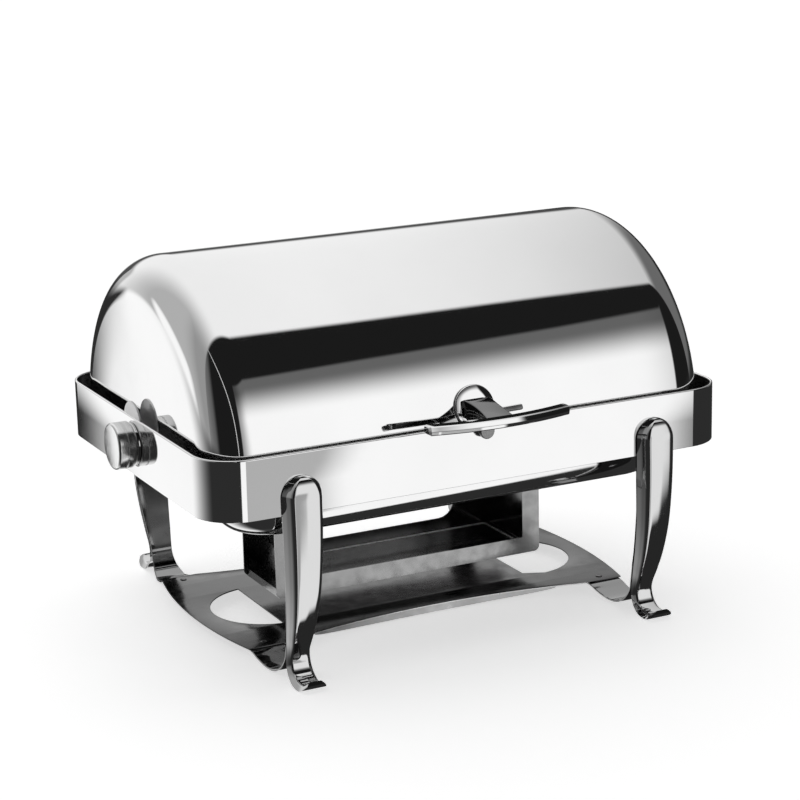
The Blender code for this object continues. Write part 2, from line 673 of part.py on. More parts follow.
# ---- hanging burner box ----
def make_hangers():
    """Each hanger drops from a pivot pin, turns under the water pan and carries the burner box."""
    shelf_z = BOX_TOP + GAP + HANGER_SHEET / 2
    upright_x = HANGER_X - HANGER_SHEET / 2
    # The sloping part runs at 45 degrees, just outside the rounded edge of the water pan.
    clearance = WATER_FILLET + HANGER_SHEET / 2 + 0.001
    diagonal = WATER_HALF_X - WATER_FILLET + clearance * math.sqrt(2) - WATER_BOTTOM - WATER_FILLET
    path = [(upright_x, PIVOT_Z + 0.014), (upright_x, upright_x - diagonal),
            (shelf_z + diagonal, shelf_z), (HANGER_INNER_X, shelf_z)]
    for name, side in SIDES.items():
        bm = bmesh.new()
        near = [bm.verts.new((side * x, -HANGER_HALF_Y, z)) for x, z in path]
        far = [bm.verts.new((side * x, HANGER_HALF_Y, z)) for x, z in path]
        bridge(bm, near, far, closed=False)
        hanger = add_part(f"hanger_{name}", mesh_from(bm, f"hanger_{name}"),
                          satin(f"hanger_{name}_steel"))
        solidify(hanger, HANGER_SHEET, 0.0)
        drill(hanger, f"hanger_pin_hole_{name}", PIN_RADIUS + GAP, 0.02, "X",
              (side * HANGER_X, 0, PIVOT_Z))
        add_part(f"pivot_nut_{name}", nut_mesh(f"pivot_nut_{name}", side),
                 satin(f"pivot_nut_{name}_steel"))
        drill(bpy.data.objects[f"pivot_nut_{name}"], f"pivot_nut_hole_{name}", PIN_RADIUS + GAP, 0.03,
              "X", (side * HANGER_X, 0, PIVOT_Z))
        for end, y in (("front", -0.014), ("back", 0.014)):
            where = (side * (HANGER_INNER_X + 0.014), y)
            drill(hanger, f"hanger_bolt_hole_{end}_{name}", 0.0025 + GAP, 0.0044, "Z",
                  (*where, BOX_TOP))
            headed_pin(f"box_bolt_{end}_{name}", 0.0025, 0.0030, 0.0045, 0.0025, (0, 0, 1),
                       (*where, BOX_TOP - BOX_SHEET - GAP), satin(f"box_bolt_{end}_{name}_steel"))


def nut_mesh(name, side):
    thickness = 0.0045
    middle = HANGER_X - HANGER_SHEET - GAP - thickness / 2
    return cylinder_mesh(name, 0.0090, thickness, "X", (side * middle, 0, PIVOT_Z), 6)


def make_burner_box():
    sheet = BOX_SHEET
    floor = box_mesh("burner_box", (-BOX_FLOOR_HALF_X, -BOX_HALF_Y + sheet / 2, BOX_BOTTOM),
                     (BOX_FLOOR_HALF_X, BOX_HALF_Y - sheet / 2, BOX_BOTTOM + sheet))
    box = add_part("burner_box", floor, polished("burner_box_steel"))
    for name, sy in (("front", -1), ("back", 1)):
        wall = box_wall_mesh(f"box_wall_{name}", sy * (BOX_HALF_Y - sheet / 2))
        boolean(box, add_cutter(f"box_wall_{name}", wall), "UNION")
    for name, side in SIDES.items():
        near, far = sorted((side * BOX_END_X, side * (BOX_END_X + sheet)))
        end = box_mesh(f"box_end_{name}", (near, -BOX_HALF_Y + sheet / 2, BOX_BOTTOM + sheet / 2),
                       (far, BOX_HALF_Y - sheet / 2, BOX_TOP))
        boolean(box, add_cutter(f"box_end_{name}", end), "UNION")
        near, far = sorted((side * BOX_FLOOR_HALF_X, side * (BOX_FLOOR_HALF_X - sheet)))
        lip = box_mesh(f"box_lip_{name}", (near, -BOX_HALF_Y + sheet / 2, BOX_BOTTOM + sheet / 2),
                       (far, BOX_HALF_Y - sheet / 2, FLOOR_LIP_TOP))
        boolean(box, add_cutter(f"box_lip_{name}", lip), "UNION")
        near, far = sorted((side * (HANGER_INNER_X + 0.002), side * (HANGER_INNER_X + 0.026)))
        flange = box_mesh(f"box_flange_{name}", (near, -BOX_HALF_Y + sheet / 2, BOX_TOP - sheet),
                          (far, BOX_HALF_Y - sheet / 2, BOX_TOP))
        boolean(box, add_cutter(f"box_flange_{name}", flange), "UNION")
    cut_burner_box(box)


def box_wall_mesh(name, y):
    """A long wall of the burner box: an upright plate with rounded lower corners."""
    outline = [(BOX_HALF_X, BOX_TOP), (-BOX_HALF_X, BOX_TOP)]
    for side in (-1, 1):
        for step in range(5):
            angle = math.pi / 2 * (step if side < 0 else 4 - step) / 4
            outline.append((side * (BOX_HALF_X - BOX_CORNER + BOX_CORNER * math.cos(angle)),
                            BOX_BOTTOM + BOX_CORNER - BOX_CORNER * math.sin(angle)))
    mesh = plate_mesh(name, outline, -BOX_SHEET / 2, BOX_SHEET / 2)
    mesh.transform(Matrix.Translation((0, y, 0)) @ Matrix.Rotation(math.pi / 2, 4, "X"))
    return mesh


def cut_burner_box(box):
    window = box_mesh("box_window", (-WINDOW_HALF_X, -BOX_HALF_Y - 0.01, WINDOW_BOTTOM),
                      (WINDOW_HALF_X, -BOX_HALF_Y + 0.01, WINDOW_TOP))
    boolean(box, add_cutter("box_window", window), "DIFFERENCE")
    outline = rounded_rectangle(BACK_CUT_HALF_X, (BACK_CUT_TOP - BACK_CUT_BOTTOM) / 2, 0.022, 5)
    opening = plate_mesh("box_back_cut", outline, -0.01, 0.01)
    turn = Matrix.Translation((0, BOX_HALF_Y, (BACK_CUT_TOP + BACK_CUT_BOTTOM) / 2))
    opening.transform(turn @ Matrix.Rotation(math.pi / 2, 4, "X"))
    boolean(box, add_cutter("box_back_cut", opening), "DIFFERENCE")
    drill(box, "box_notch", NOTCH_RADIUS, 0.02, "X", (-BOX_END_X, 0, NOTCH_CENTRE_Z))
    for name, side in SIDES.items():
        for end, y in (("front", -0.014), ("back", 0.014)):
            drill(box, f"box_bolt_hole_{end}_{name}", 0.0025 + GAP, 0.006, "Z",
                  (side * (HANGER_INNER_X + 0.014), y, BOX_TOP))


def make_burner_tray():
    """A shallow open tray that the fuel stands in, on the floor of the burner box."""
    half_x = BOX_END_X - 2 * GAP
    half_y = BOX_HALF_Y - BOX_SHEET - GAP
    low = BOX_BOTTOM + BOX_SHEET + GAP
    tray = add_part("burner_tray",
                    box_mesh("burner_tray", (-half_x, -half_y, low), (half_x, half_y, TRAY_TOP)),
                    polished("burner_tray_steel"))
    hollow = box_mesh("tray_hollow",
                      (-half_x + TRAY_SHEET, -half_y + TRAY_SHEET, low + TRAY_SHEET),
                      (half_x - TRAY_SHEET, half_y - TRAY_SHEET, TRAY_TOP + 0.01))
    boolean(tray, add_cutter("tray_hollow", hollow), "DIFFERENCE")


# ---- pans ----
def fillet_rings(bm, half_x, half_y, corner, bottom, fillet, steps=4):
    """Rings that round a wall into a floor, ending at the floor's edge."""
    rings = []
    for step in range(steps + 1):
        angle = math.pi / 2 * step / steps
        inset = fillet * (1 - math.cos(angle))
        height = bottom + fillet * (1 - math.sin(angle))
        outline = rounded_rectangle(half_x - inset, half_y - inset, corner - inset, 6)
        rings.append(ring(bm, outline, height))
    return rings


def make_water_pan():
    bm = bmesh.new()
    mouth = rounded_rectangle(FOOD_HALF_X - 0.012, FOOD_HALF_Y - 0.012, 0.030, 6)
    outer = rounded_rectangle(WATER_HALF_X, WATER_HALF_Y, WATER_CORNER, 6)
    rings = [ring(bm, mouth, WATER_TOP), ring(bm, outer, WATER_TOP)]
    rings += fillet_rings(bm, WATER_HALF_X, WATER_HALF_Y, WATER_CORNER, WATER_BOTTOM, WATER_FILLET)
    for first, second in zip(rings, rings[1:]):
        bridge(bm, first, second)
    bm.faces.new(rings[-1])
    pan = add_part("water_pan", mesh_from(bm, "water_pan", smooth=True), polished("water_pan_steel"))
    solidify(pan, PAN_SHEET, -1.0)


def make_food_pan():
    bm = bmesh.new()
    top = WATER_TOP + GAP + PAN_SHEET
    flange = rounded_rectangle(FOOD_HALF_X, FOOD_HALF_Y, 0.022, 6)
    half_x, half_y = FOOD_HALF_X - 0.0145, FOOD_HALF_Y - 0.0145
    mouth = rounded_rectangle(half_x, half_y, 0.028, 6)
    rings = [ring(bm, flange, top), ring(bm, mouth, top)]
    draft = 0.004
    rings += fillet_rings(bm, half_x - draft, half_y - draft, 0.026, top - FOOD_DEPTH, 0.012, 3)
    for first, second in zip(rings, rings[1:]):
        bridge(bm, first, second)
    bm.faces.new(rings[-1])
    pan = add_part("food_pan", mesh_from(bm, "food_pan", smooth=True), satin("food_pan_steel"))
    solidify(pan, PAN_SHEET, -1.0)


def centre_on_footprint():
    for item in list(parts.objects) + list(cutters.objects):
        item.location.y += FOOTPRINT_SHIFT_Y


clear_scene()
parts = new_collection("roll_top_chafing_dish")
cutters = new_collection("cutters")
make_band()
make_legs()
make_straps()
make_leg_screws()
make_shelf()
make_ends()
make_knobs()
make_lid()
make_handle()
make_hangers()
make_burner_box()
make_burner_tray()
make_water_pan()
make_food_pan()
centre_on_footprint()
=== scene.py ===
"""Looks for the roll-top chafing dish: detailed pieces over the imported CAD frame, light and camera."""
import math

import bmesh
import bpy
from mathutils import Matrix, Vector


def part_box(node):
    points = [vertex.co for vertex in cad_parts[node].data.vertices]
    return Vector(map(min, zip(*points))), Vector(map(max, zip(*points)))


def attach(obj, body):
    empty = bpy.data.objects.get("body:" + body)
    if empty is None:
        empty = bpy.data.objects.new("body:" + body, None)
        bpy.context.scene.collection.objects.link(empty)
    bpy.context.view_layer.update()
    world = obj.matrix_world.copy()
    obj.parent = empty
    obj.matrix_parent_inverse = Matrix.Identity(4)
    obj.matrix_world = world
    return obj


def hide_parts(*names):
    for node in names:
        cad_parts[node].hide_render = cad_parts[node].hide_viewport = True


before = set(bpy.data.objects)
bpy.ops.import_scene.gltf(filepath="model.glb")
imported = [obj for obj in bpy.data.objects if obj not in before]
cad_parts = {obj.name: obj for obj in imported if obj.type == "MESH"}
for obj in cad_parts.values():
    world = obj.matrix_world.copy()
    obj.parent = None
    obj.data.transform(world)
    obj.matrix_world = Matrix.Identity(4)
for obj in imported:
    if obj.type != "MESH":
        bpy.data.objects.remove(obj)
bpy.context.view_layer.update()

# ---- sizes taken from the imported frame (metres) ----
band_low, band_high = (Vector(corner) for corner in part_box("band"))
MID_Y = (band_low.y + band_high.y) / 2          # every piece is laid out about this line
BAND_HALF_X = band_high.x
BAND_HALF_Y = (band_high.y - band_low.y) / 2
BAND_BOTTOM = band_low.z
BAND_TOP = band_high.z
BAND_CORNER = 0.052
BAND_SHEET = 0.0014
BEAD = 0.0017                                    # radius of the band's rolled rim

pin_low, pin_high = (Vector(corner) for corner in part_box("pivot_pin_left"))
PIVOT_Z = (pin_low.z + pin_high.z) / 2

lid_low, lid_high = (Vector(corner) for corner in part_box("lid"))
LID_RADIUS = (lid_high.y - lid_low.y) / 2
LID_AXIS_Z = lid_high.z - LID_RADIUS
LID_HALF_X = lid_high.x
LID_BOTTOM = lid_low.z
LID_FILLET = 0.050
LID_SHEET = 0.0010

SHELF_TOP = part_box("shelf")[1][2]
SHELF_SHEET = 0.0015
SHELF_END_X = 0.268                              # at the middle of the bulging ends
SHELF_CORNER_X = 0.252
SHELF_TAB_X = 0.206                              # where the concave long edge starts
SHELF_CORNER_Y = {-1: 0.130, 1: 0.150}           # front and back
SHELF_WAIST_Y = {-1: 0.104, 1: 0.124}
SHELF_LIP_HALF_X = 0.165
SHELF_LIP_DEPTH = 0.008
HOLE_CENTRE_X = 0.172
HOLE_RADIUS = 0.070
HOLE_INNER_X = {-1: 0.182, 1: 0.152}
HOLE_INNER_HALF_Y = 0.058
LEG_X = 0.228
STRAP_SHEET = 0.0025
FOOT_FLAT_HEIGHT = 0.0034

WATER_HALF_X = 0.286
WATER_HALF_Y = 0.200
WATER_CORNER = 0.064
WATER_TOP = 0.262
WATER_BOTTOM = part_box("water_pan")[0][2]
WATER_FILLET = 0.026
FOOD_HALF_X = 0.265
FOOD_HALF_Y = 0.1625
FOOD_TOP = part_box("food_pan")[1][2]
FOOD_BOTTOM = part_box("food_pan")[0][2]
PAN_SHEET = 0.001
TRAY_SHEET = 0.0015
BOX_OUTSIDE_X = 0.157

BAR_HALF_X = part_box("handle_bar")[1][0]
BAR_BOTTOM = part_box("handle_bar")[0][2]
BAR_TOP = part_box("handle_bar")[1][2]
BAR_END_Y = 0.2815
BAR_MID_Y = 0.2945
BAR_DEPTH = 0.0155
ROSETTE_Z = 0.287
ROSETTE_RADIUS = 0.0255
TAB_BACK_Y = 0.2455
TAB_FRONT_Y = 0.2500
BUMPER_Z = 0.2655

CORNERS = {
    "front_left": (-1, -1),
    "front_right": (1, -1),
    "back_left": (-1, 1),
    "back_right": (1, 1),
}
SIDES = {"left": -1, "right": 1}

HEAD_HEIGHTS = {
    "leg_screw": 0.0028,
    "leg_rivet": 0.0022,
    "shelf_rivet": 0.0008,
    "box_bolt": 0.0025,
}

# Half of a leg's section from its back edge to its middle, as fractions of the half width and of
# the thickness.
LEG_HALF_SECTION = [
    (0.94, 0.0), (1.0, 0.03), (0.95, 0.20), (0.89, 0.40), (0.83, 0.58), (0.775, 0.74), (0.72, 0.86),
    (0.665, 0.94), (0.60, 0.985), (0.35, 0.995), (0.0, 1.0),
]
# Stations down a leg, then along its foot: distance outwards from the band's face, height,
# half width, thickness.
LEG_STATIONS = [
    (0.0085, 0.222, 0.0245, 0.0155),
    (0.0085, 0.186, 0.0240, 0.0160),
    (0.0070, 0.150, 0.0230, 0.0160),
    (0.0035, 0.115, 0.0215, 0.0150),
    (-0.0040, 0.082, 0.0192, 0.0135),
    (-0.0130, 0.056, 0.0168, 0.0110),
    (-0.0200, 0.038, 0.0148, 0.0085),
    (-0.0225, 0.025, 0.0148, 0.0075),
    (-0.0185, 0.013, 0.0154, 0.0070),
    (-0.0095, 0.0055, 0.0160, 0.0068),
    (0.0000, FOOT_FLAT_HEIGHT, 0.0162, 0.0068),
    (0.0080, FOOT_FLAT_HEIGHT, 0.0160, 0.0068),
    (0.0150, 0.0062, 0.0148, 0.0058),
    (0.0205, 0.0110, 0.0110, 0.0048),
]
# A strap's middle line, front and back: distance from the middle, height, half width.
STRAP_UNDER_SHELF = {
    -1: [(0.1020, 0.0097, 0.0220), (0.1310, 0.0097, 0.0220), (0.1480, 0.0060, 0.0215),
         (0.1700, 0.0030, 0.0200)],
    1: [(0.1220, 0.0097, 0.0220), (0.1510, 0.0097, 0.0220), (0.1640, 0.0060, 0.0215),
        (0.1800, 0.0032, 0.0195)],
}
STRAP_RISING = [
    (0.1880, 0.0055, 0.0180),
    (0.2010, 0.0130, 0.0155),
    (0.2090, 0.0250, 0.0138),
    (0.2120, 0.0380, 0.0138),
    (0.2175, 0.0560, 0.0155),
    (0.2258, 0.0820, 0.0178),
    (0.2330, 0.1150, 0.0200),
    (0.2366, 0.1420, 0.0213),
    (0.2366, 0.2050, 0.0225),
    (0.2366, 0.2380, 0.0225),
]


# White cards on the studio floor, in degrees round from the front: begin, end, softness, brightness.
FLOOR_CARDS = (
    (-9.0, 2.0, 2.0, 1.0),
    (2.0, 24.0, 4.0, 0.45),
    (24.0, 34.0, 3.0, 1.0),
    (155.0, 165.0, 6.0, 0.7),
)
FLOOR_GREY = 0.015
FADE_DARK = -70.0                                # the floor fades from here round to white at the left
FADE_WHITE = -160.0

# The camera: degrees round from the front, degrees above, and metres.
CAMERA_AZIMUTH = 26.506
CAMERA_ELEVATION = 14.742
CAMERA_ROLL = -1.336
CAMERA_TARGET_X = 0.01777
CAMERA_TARGET_Z = 0.24352
CAMERA_DISTANCE = 2.80125
CAMERA_LENS = 102.607
CAMERA_SHIFT_X = -0.0030


# ---- node and material helpers ----
class Nodes:
    """Short names for building a node tree."""

    def __init__(self, tree):
        self.tree = tree

    def new(self, kind, **values):
        node = self.tree.nodes.new(kind)
        for name, value in values.items():
            setattr(node, name, value)
        return node

    def link(self, source, target):
        self.tree.links.new(source, target)

    def math(self, operation, *inputs):
        node = self.new("ShaderNodeMath", operation=operation)
        for index, value in enumerate(inputs):
            self.plug(node.inputs[index], value)
        return node.outputs[0]

    def plug(self, socket, value):
        if isinstance(value, (int, float)):
            socket.default_value = value
        else:
            self.link(value, socket)

    def band(self, value, low, high, out_low=0.0, out_high=1.0):
        """Smooth step of value from low to high."""
        node = self.new("ShaderNodeMapRange", interpolation_type="SMOOTHSTEP")
        limits = {"From Min": low, "From Max": high, "To Min": out_low, "To Max": out_high}
        for name, number in limits.items():
            node.inputs[name].default_value = number
        self.plug(node.inputs["Value"], value)
        return node.outputs["Result"]



def new_material(name):
    material = bpy.data.materials.new(name)
    material.use_nodes = True
    nodes = Nodes(material.node_tree)
    shader = material.node_tree.nodes["Principled BSDF"]
    return material, nodes, shader


def object_noise(nodes, scale, stretch=(1, 1, 1), detail=3.0):
    coordinates = nodes.new("ShaderNodeTexCoord")
    mapping = nodes.new("ShaderNodeMapping")
    mapping.inputs["Scale"].default_value = stretch
    noise = nodes.new("ShaderNodeTexNoise")
    noise.inputs["Scale"].default_value = scale
    noise.inputs["Detail"].default_value = detail
    nodes.link(coordinates.outputs["Object"], mapping.inputs["Vector"])
    nodes.link(mapping.outputs["Vector"], noise.inputs["Vector"])
    return noise.outputs["Fac"]


def grey_mix(nodes, factor, dark, light):
    node = nodes.new("ShaderNodeMapRange")
    for name, value in (("From Min", 0.3), ("From Max", 0.7), ("To Min", dark), ("To Max", light)):
        node.inputs[name].default_value = value
    nodes.plug(node.inputs["Value"], factor)
    return node.outputs["Result"]


def add_bump(nodes, shader, height, strength, distance):
    bump = nodes.new("ShaderNodeBump")
    bump.inputs["Strength"].default_value = strength
    bump.inputs["Distance"].default_value = distance
    nodes.link(height, bump.inputs["Height"])
    nodes.link(bump.outputs["Normal"], shader.inputs["Normal"])


def steel(name, light, roughness, wave, metallic=1.0):
    """Polished stainless steel: faint stains, fine polishing lines and a slightly wavy sheet."""
    material, nodes, shader = new_material(name)
    shader.inputs["Metallic"].default_value = metallic
    stain = object_noise(nodes, 9.0, detail=4.0)
    colour = nodes.new("ShaderNodeCombineColor")
    grey = grey_mix(nodes, stain, light * 0.97, light)
    for channel in ("Red", "Green", "Blue"):
        nodes.link(grey, colour.inputs[channel])
    nodes.link(colour.outputs["Color"], shader.inputs["Base Color"])
    lines = object_noise(nodes, 60.0, detail=6.0)
    rough = grey_mix(nodes, lines, roughness * 0.7, roughness * 1.4)
    nodes.link(rough, shader.inputs["Roughness"])
    wavy = object_noise(nodes, 7.0, detail=1.0)
    add_bump(nodes, shader, wavy, wave, 0.002)
    return material


def brushed(name, light, roughness, stretch, anisotropy=0.5, scale=120.0):
    """Satin steel with fine brushing along one direction."""
    material, nodes, shader = new_material(name)
    shader.inputs["Metallic"].default_value = 1.0
    shader.inputs["Anisotropic"].default_value = anisotropy
    lines = object_noise(nodes, scale, stretch, detail=5.0)
    colour = nodes.new("ShaderNodeCombineColor")
    grey = grey_mix(nodes, lines, light * 0.88, light)
    for channel in ("Red", "Green", "Blue"):
        nodes.link(grey, colour.inputs[channel])
    nodes.link(colour.outputs["Color"], shader.inputs["Base Color"])
    rough = grey_mix(nodes, lines, roughness * 0.8, roughness * 1.2)
    nodes.link(rough, shader.inputs["Roughness"])
    add_bump(nodes, shader, lines, 0.12, 0.0004)
    return material


def plastic(name, light, roughness):
    material, nodes, shader = new_material(name)
    grain = object_noise(nodes, 900.0, detail=3.0)
    colour = nodes.new("ShaderNodeCombineColor")
    grey = grey_mix(nodes, grain, light * 0.85, light)
    for channel in ("Red", "Green", "Blue"):
        nodes.link(grey, colour.inputs[channel])
    nodes.link(colour.outputs["Color"], shader.inputs["Base Color"])
    rough = grey_mix(nodes, grain, roughness * 0.85, roughness * 1.15)
    nodes.link(rough, shader.inputs["Roughness"])
    add_bump(nodes, shader, grain, 0.2, 0.0003)
    return material


# ---- geometry helpers ----
def rounded_rectangle(half_x, half_y, radius, steps):
    points = []
    for quarter, (sx, sy) in enumerate(((1, 1), (-1, 1), (-1, -1), (1, -1))):
        for step in range(steps + 1):
            angle = math.pi / 2 * (quarter + step / steps)
            points.append((sx * (half_x - radius) + radius * math.cos(angle),
                           sy * (half_y - radius) + radius * math.sin(angle)))
    return points


def smooth_path(stations, per_span):
    """More stations between the given ones, on a Catmull-Rom curve."""
    result = []
    last = len(stations) - 1
    for index in range(last):
        p0 = stations[max(index - 1, 0)]
        p1 = stations[index]
        p2 = stations[index + 1]
        p3 = stations[min(index + 2, last)]
        for step in range(per_span):
            t = step / per_span
            point = []
            for a, b, c, d in zip(p0, p1, p2, p3):
                value = 2 * b + (c - a) * t + (2 * a - 5 * b + 4 * c - d) * t ** 2
                value += (3 * b - a - 3 * c + d) * t ** 3
                point.append(value / 2)
            result.append(tuple(point))
    result.append(stations[-1])
    return result


def loft(name, rings, closed_loop=False):
    """A skin over rings of points, each ring closed."""
    bm = bmesh.new()
    rows = [[bm.verts.new(point) for point in points] for points in rings]
    pairs = list(zip(rows, rows[1:]))
    if closed_loop:
        pairs.append((rows[-1], rows[0]))
    for first, second in pairs:
        count = len(first)
        for index in range(count):
            following = (index + 1) % count
            bm.faces.new((first[index], first[following], second[following], second[index]))
    if not closed_loop:
        bm.faces.new(rows[0])
        bm.faces.new(rows[-1])
    return finish_mesh(bm, name)


def finish_mesh(bm, name, sharp=35):
    bmesh.ops.recalc_face_normals(bm, faces=bm.faces)
    mesh = bpy.data.meshes.new(name)
    bm.to_mesh(mesh)
    bm.free()
    mesh.shade_smooth()
    mesh.set_sharp_from_angle(angle=math.radians(sharp))
    return mesh


def turned_mesh(name, profile, segments):
    """A closed turned form: profile of (radius, height), from axis to axis, turned about Z."""
    bm = bmesh.new()
    verts = [bm.verts.new((radius, 0.0, height)) for radius, height in profile]
    for first, second in zip(verts, verts[1:]):
        bm.edges.new((first, second))
    bmesh.ops.spin(bm, geom=bm.verts[:] + bm.edges[:], axis=(0, 0, 1), cent=(0, 0, 0),
                   angle=2 * math.pi, steps=segments, use_merge=True)
    bmesh.ops.remove_doubles(bm, verts=bm.verts, dist=0.000005)
    return finish_mesh(bm, name)


def place(name, mesh, material, body, nodes=(), matrix=None):
    """Adds a piece about the band's middle line, on a body, in place of CAD nodes."""
    piece = bpy.data.objects.new(name, mesh)
    bpy.context.scene.collection.objects.link(piece)
    piece.matrix_world = Matrix.Translation((0, MID_Y, 0)) @ (matrix or Matrix.Identity(4))
    mesh.materials.clear()
    mesh.materials.append(material)
    bpy.context.view_layer.update()
    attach(piece, body)
    if nodes:
        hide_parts(*nodes)
    return piece


def add_bevel(piece, width, segments=2, angle=30):
    bevel = piece.modifiers.new("Edges", "BEVEL")
    bevel.width = width
    bevel.segments = segments
    bevel.limit_method = "ANGLE"
    bevel.angle_limit = math.radians(angle)


def add_sheet(piece, thickness):
    sheet = piece.modifiers.new("Sheet", "SOLIDIFY")
    sheet.thickness = thickness
    sheet.offset = -1.0
    sheet.use_even_offset = True


def towards(direction, location):
    """Turns a piece made along +Z to point along direction, and moves it."""
    turn = Vector((0, 0, 1)).rotation_difference(Vector(direction)).to_matrix().to_4x4()
    return Matrix.Translation(location) @ turn


# ---- frame ----
def build_band():
    top = BAND_TOP - BEAD
    section = [(0.0, BAND_BOTTOM + 0.0004), (0.0, (BAND_BOTTOM + top) / 2), (0.0, top)]
    for step in range(1, 12):
        angle = math.pi * 1.35 * step / 12
        section.append((BEAD - BEAD * math.cos(angle), top + BEAD * math.sin(angle)))
    section += [(BAND_SHEET, top - BEAD * 1.1), (BAND_SHEET, BAND_BOTTOM + 0.0004),
                (BAND_SHEET - 0.0004, BAND_BOTTOM), (0.0004, BAND_BOTTOM)]
    rings = []
    for inset, height in section:
        outline = rounded_rectangle(BAND_HALF_X - inset, BAND_HALF_Y - inset, BAND_CORNER - inset, 24)
        rings.append([(x, y, height) for x, y in outline])
    band = place("band_rolled", loft("band_rolled", rings, closed_loop=True),
                 steel("band_steel", 0.86, 0.035, 0.05), "frame", ["band"])
    band.data.materials.append(brushed("band_inside_steel", 0.26, 0.30, (1, 1, 20), 0.2, 60.0))
    for face in band.data.polygons:
        outwards = Vector((face.center.x, face.center.y, 0.0))
        if face.normal.dot(outwards) < 0 and face.center.z < top:
            face.material_index = 1


def leg_rings():
    stations = smooth_path(LEG_STATIONS, 6)
    out, height, half_width, thickness = stations[0]
    back = out - thickness / 2
    dome = []
    for degrees in (88, 82, 75, 67, 58, 48, 38, 28, 18, 9):
        angle = math.radians(degrees)
        depth = max(thickness * math.cos(angle) ** 0.6, thickness * 0.22)
        dome.append((back + depth / 2, height + half_width * math.sin(angle),
                     half_width * math.cos(angle), depth))
    stations = dome + stations
    rings = []
    for index, (out, height, half_width, thickness) in enumerate(stations):
        before = stations[max(index - 1, 0)]
        after = stations[min(index + 1, len(stations) - 1)]
        along = Vector((0, after[0] - before[0], after[1] - before[1])).normalized()
        if index < len(dome) + 2:
            along = Vector((0, 0, -1))
        outwards = Vector((0, -along.z, along.y))
        centre = Vector((0, out, height))
        ring = []
        for across, depth in leg_section(half_width, thickness):
            ring.append(centre + Vector((across, 0, 0)) + outwards * depth)
        rings.append(ring)
    lowest = min(point.z for ring in rings for point in ring)
    return [[point - Vector((0, 0, lowest)) for point in ring] for ring in rings]


def leg_section(half_width, thickness):
    """Flat back, rounded sides and a nearly flat front."""
    right = [LEG_HALF_SECTION[0]] + smooth_path(LEG_HALF_SECTION[1:], 3)
    half = [(half_width * across, thickness * (depth - 0.5)) for across, depth in right]
    return half + [(-across, depth) for across, depth in reversed(half[:-1])]


def build_legs():
    chrome = steel("leg_chrome", 0.66, 0.04, 0.10)
    for name, (sx, sy) in CORNERS.items():
        matrix = Matrix.Translation((sx * LEG_X, sy * (BAND_HALF_Y + 0.0006), 0))
        if sy < 0:
            matrix = matrix @ Matrix.Rotation(math.pi, 4, "Z")
        place(f"leg_cast_{name}", loft(f"leg_cast_{name}", leg_rings()), chrome, "frame",
              [f"leg_{name}"], matrix)


def build_straps():
    # The straps' steel is painted dark (0.30): painted shade for the shaded underside of the dish that they
    # reflect.
    metal = steel("strap_painted_shade_steel", 0.30, 0.07, 0.15)
    half = STRAP_SHEET / 2
    edge = 0.0006
    for name, (sx, sy) in CORNERS.items():
        stations = smooth_path(STRAP_UNDER_SHELF[sy] + STRAP_RISING, 6)
        rings = []
        for index, (out, height, width) in enumerate(stations):
            before = stations[max(index - 1, 0)]
            after = stations[min(index + 1, len(stations) - 1)]
            along = Vector((0, after[0] - before[0], after[1] - before[1])).normalized()
            normal = Vector((0, -along.z, along.y))
            centre = Vector((0, out, height))
            section = [(width - edge, half), (width, half - edge), (width, edge - half),
                       (width - edge, -half), (edge - width, -half), (-width, edge - half),
                       (-width, half - edge), (edge - width, half)]
            ring = []
            for across, depth in section:
                point = centre + Vector((across, 0, 0)) + normal * depth
                ring.append((sx * LEG_X + point.x, sy * point.y, point.z))
            rings.append(ring)
        place(f"strap_bent_{name}", loft(f"strap_bent_{name}", rings), metal, "frame",
              [f"strap_{name}"])


def button_head(radius, height, socket):
    """Profile of a domed head with a round socket, from its crown down to its flat underside."""
    profile = [(0.0, height - socket * 0.9), (socket, height - socket * 0.9), (socket, height * 0.98)]
    for step in range(1, 9):
        angle = math.pi / 2 * step / 8
        rise = 0.0002
        if step < 8:
            rise = height * 0.98 * math.cos(angle) ** 0.8
        profile.append((socket + (radius - socket) * math.sin(angle), rise))
    profile.append((radius - 0.0002, 0.0))
    return profile


def build_fasteners():
    """Screws and rivets: a domed head, with a plain shank into the pieces it holds."""
    bright = steel("screw_steel", 0.75, 0.08, 0.2)
    dull = steel("shelf_rivet_steel", 0.12, 0.20, 0.2)
    kinds = (("leg_screw", "y", -1, 0.0018), ("leg_rivet", "y", -1, 0.0), ("shelf_rivet", "z", 1, 0.0),
             ("box_bolt", "z", -1, 0.0014))
    for node in list(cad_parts):
        for kind, axis, sign, socket in kinds:
            if not node.startswith(kind):
                continue
            low, high = (Vector(corner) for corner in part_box(node))
            middle = (low + high) / 2
            radius = (high.x - low.x) / 2
            if axis == "y":
                outer = 1 if middle.y > MID_Y else -1
                direction = Vector((0, -outer, 0))
                head = low.y if outer > 0 else high.y
                base = Vector((middle.x, head, middle.z))
            else:
                direction = Vector((0, 0, sign))
                base = Vector((middle.x, middle.y, high.z if sign > 0 else low.z))
            length = (high - low).dot(Vector([abs(v) for v in direction]))
            height = HEAD_HEIGHTS[kind]
            shank = radius * 0.5
            crown = button_head(radius, height, socket) if socket else dome_head(radius, height)
            profile = crown + [(shank, 0.0), (shank, height - length), (0.0, height - length)]
            matrix = towards(direction, base - direction * height - Vector((0, MID_Y, 0)))
            mesh = turned_mesh(f"{node}_turned", profile, 28)
            place(f"{node}_turned", mesh, dull if kind == "shelf_rivet" else bright, "frame",
                  [node], matrix)


def dome_head(radius, height):
    profile = []
    for step in range(9):
        angle = math.pi / 2 * step / 8
        profile.append((radius * math.sin(angle), height * math.cos(angle)))
    return profile


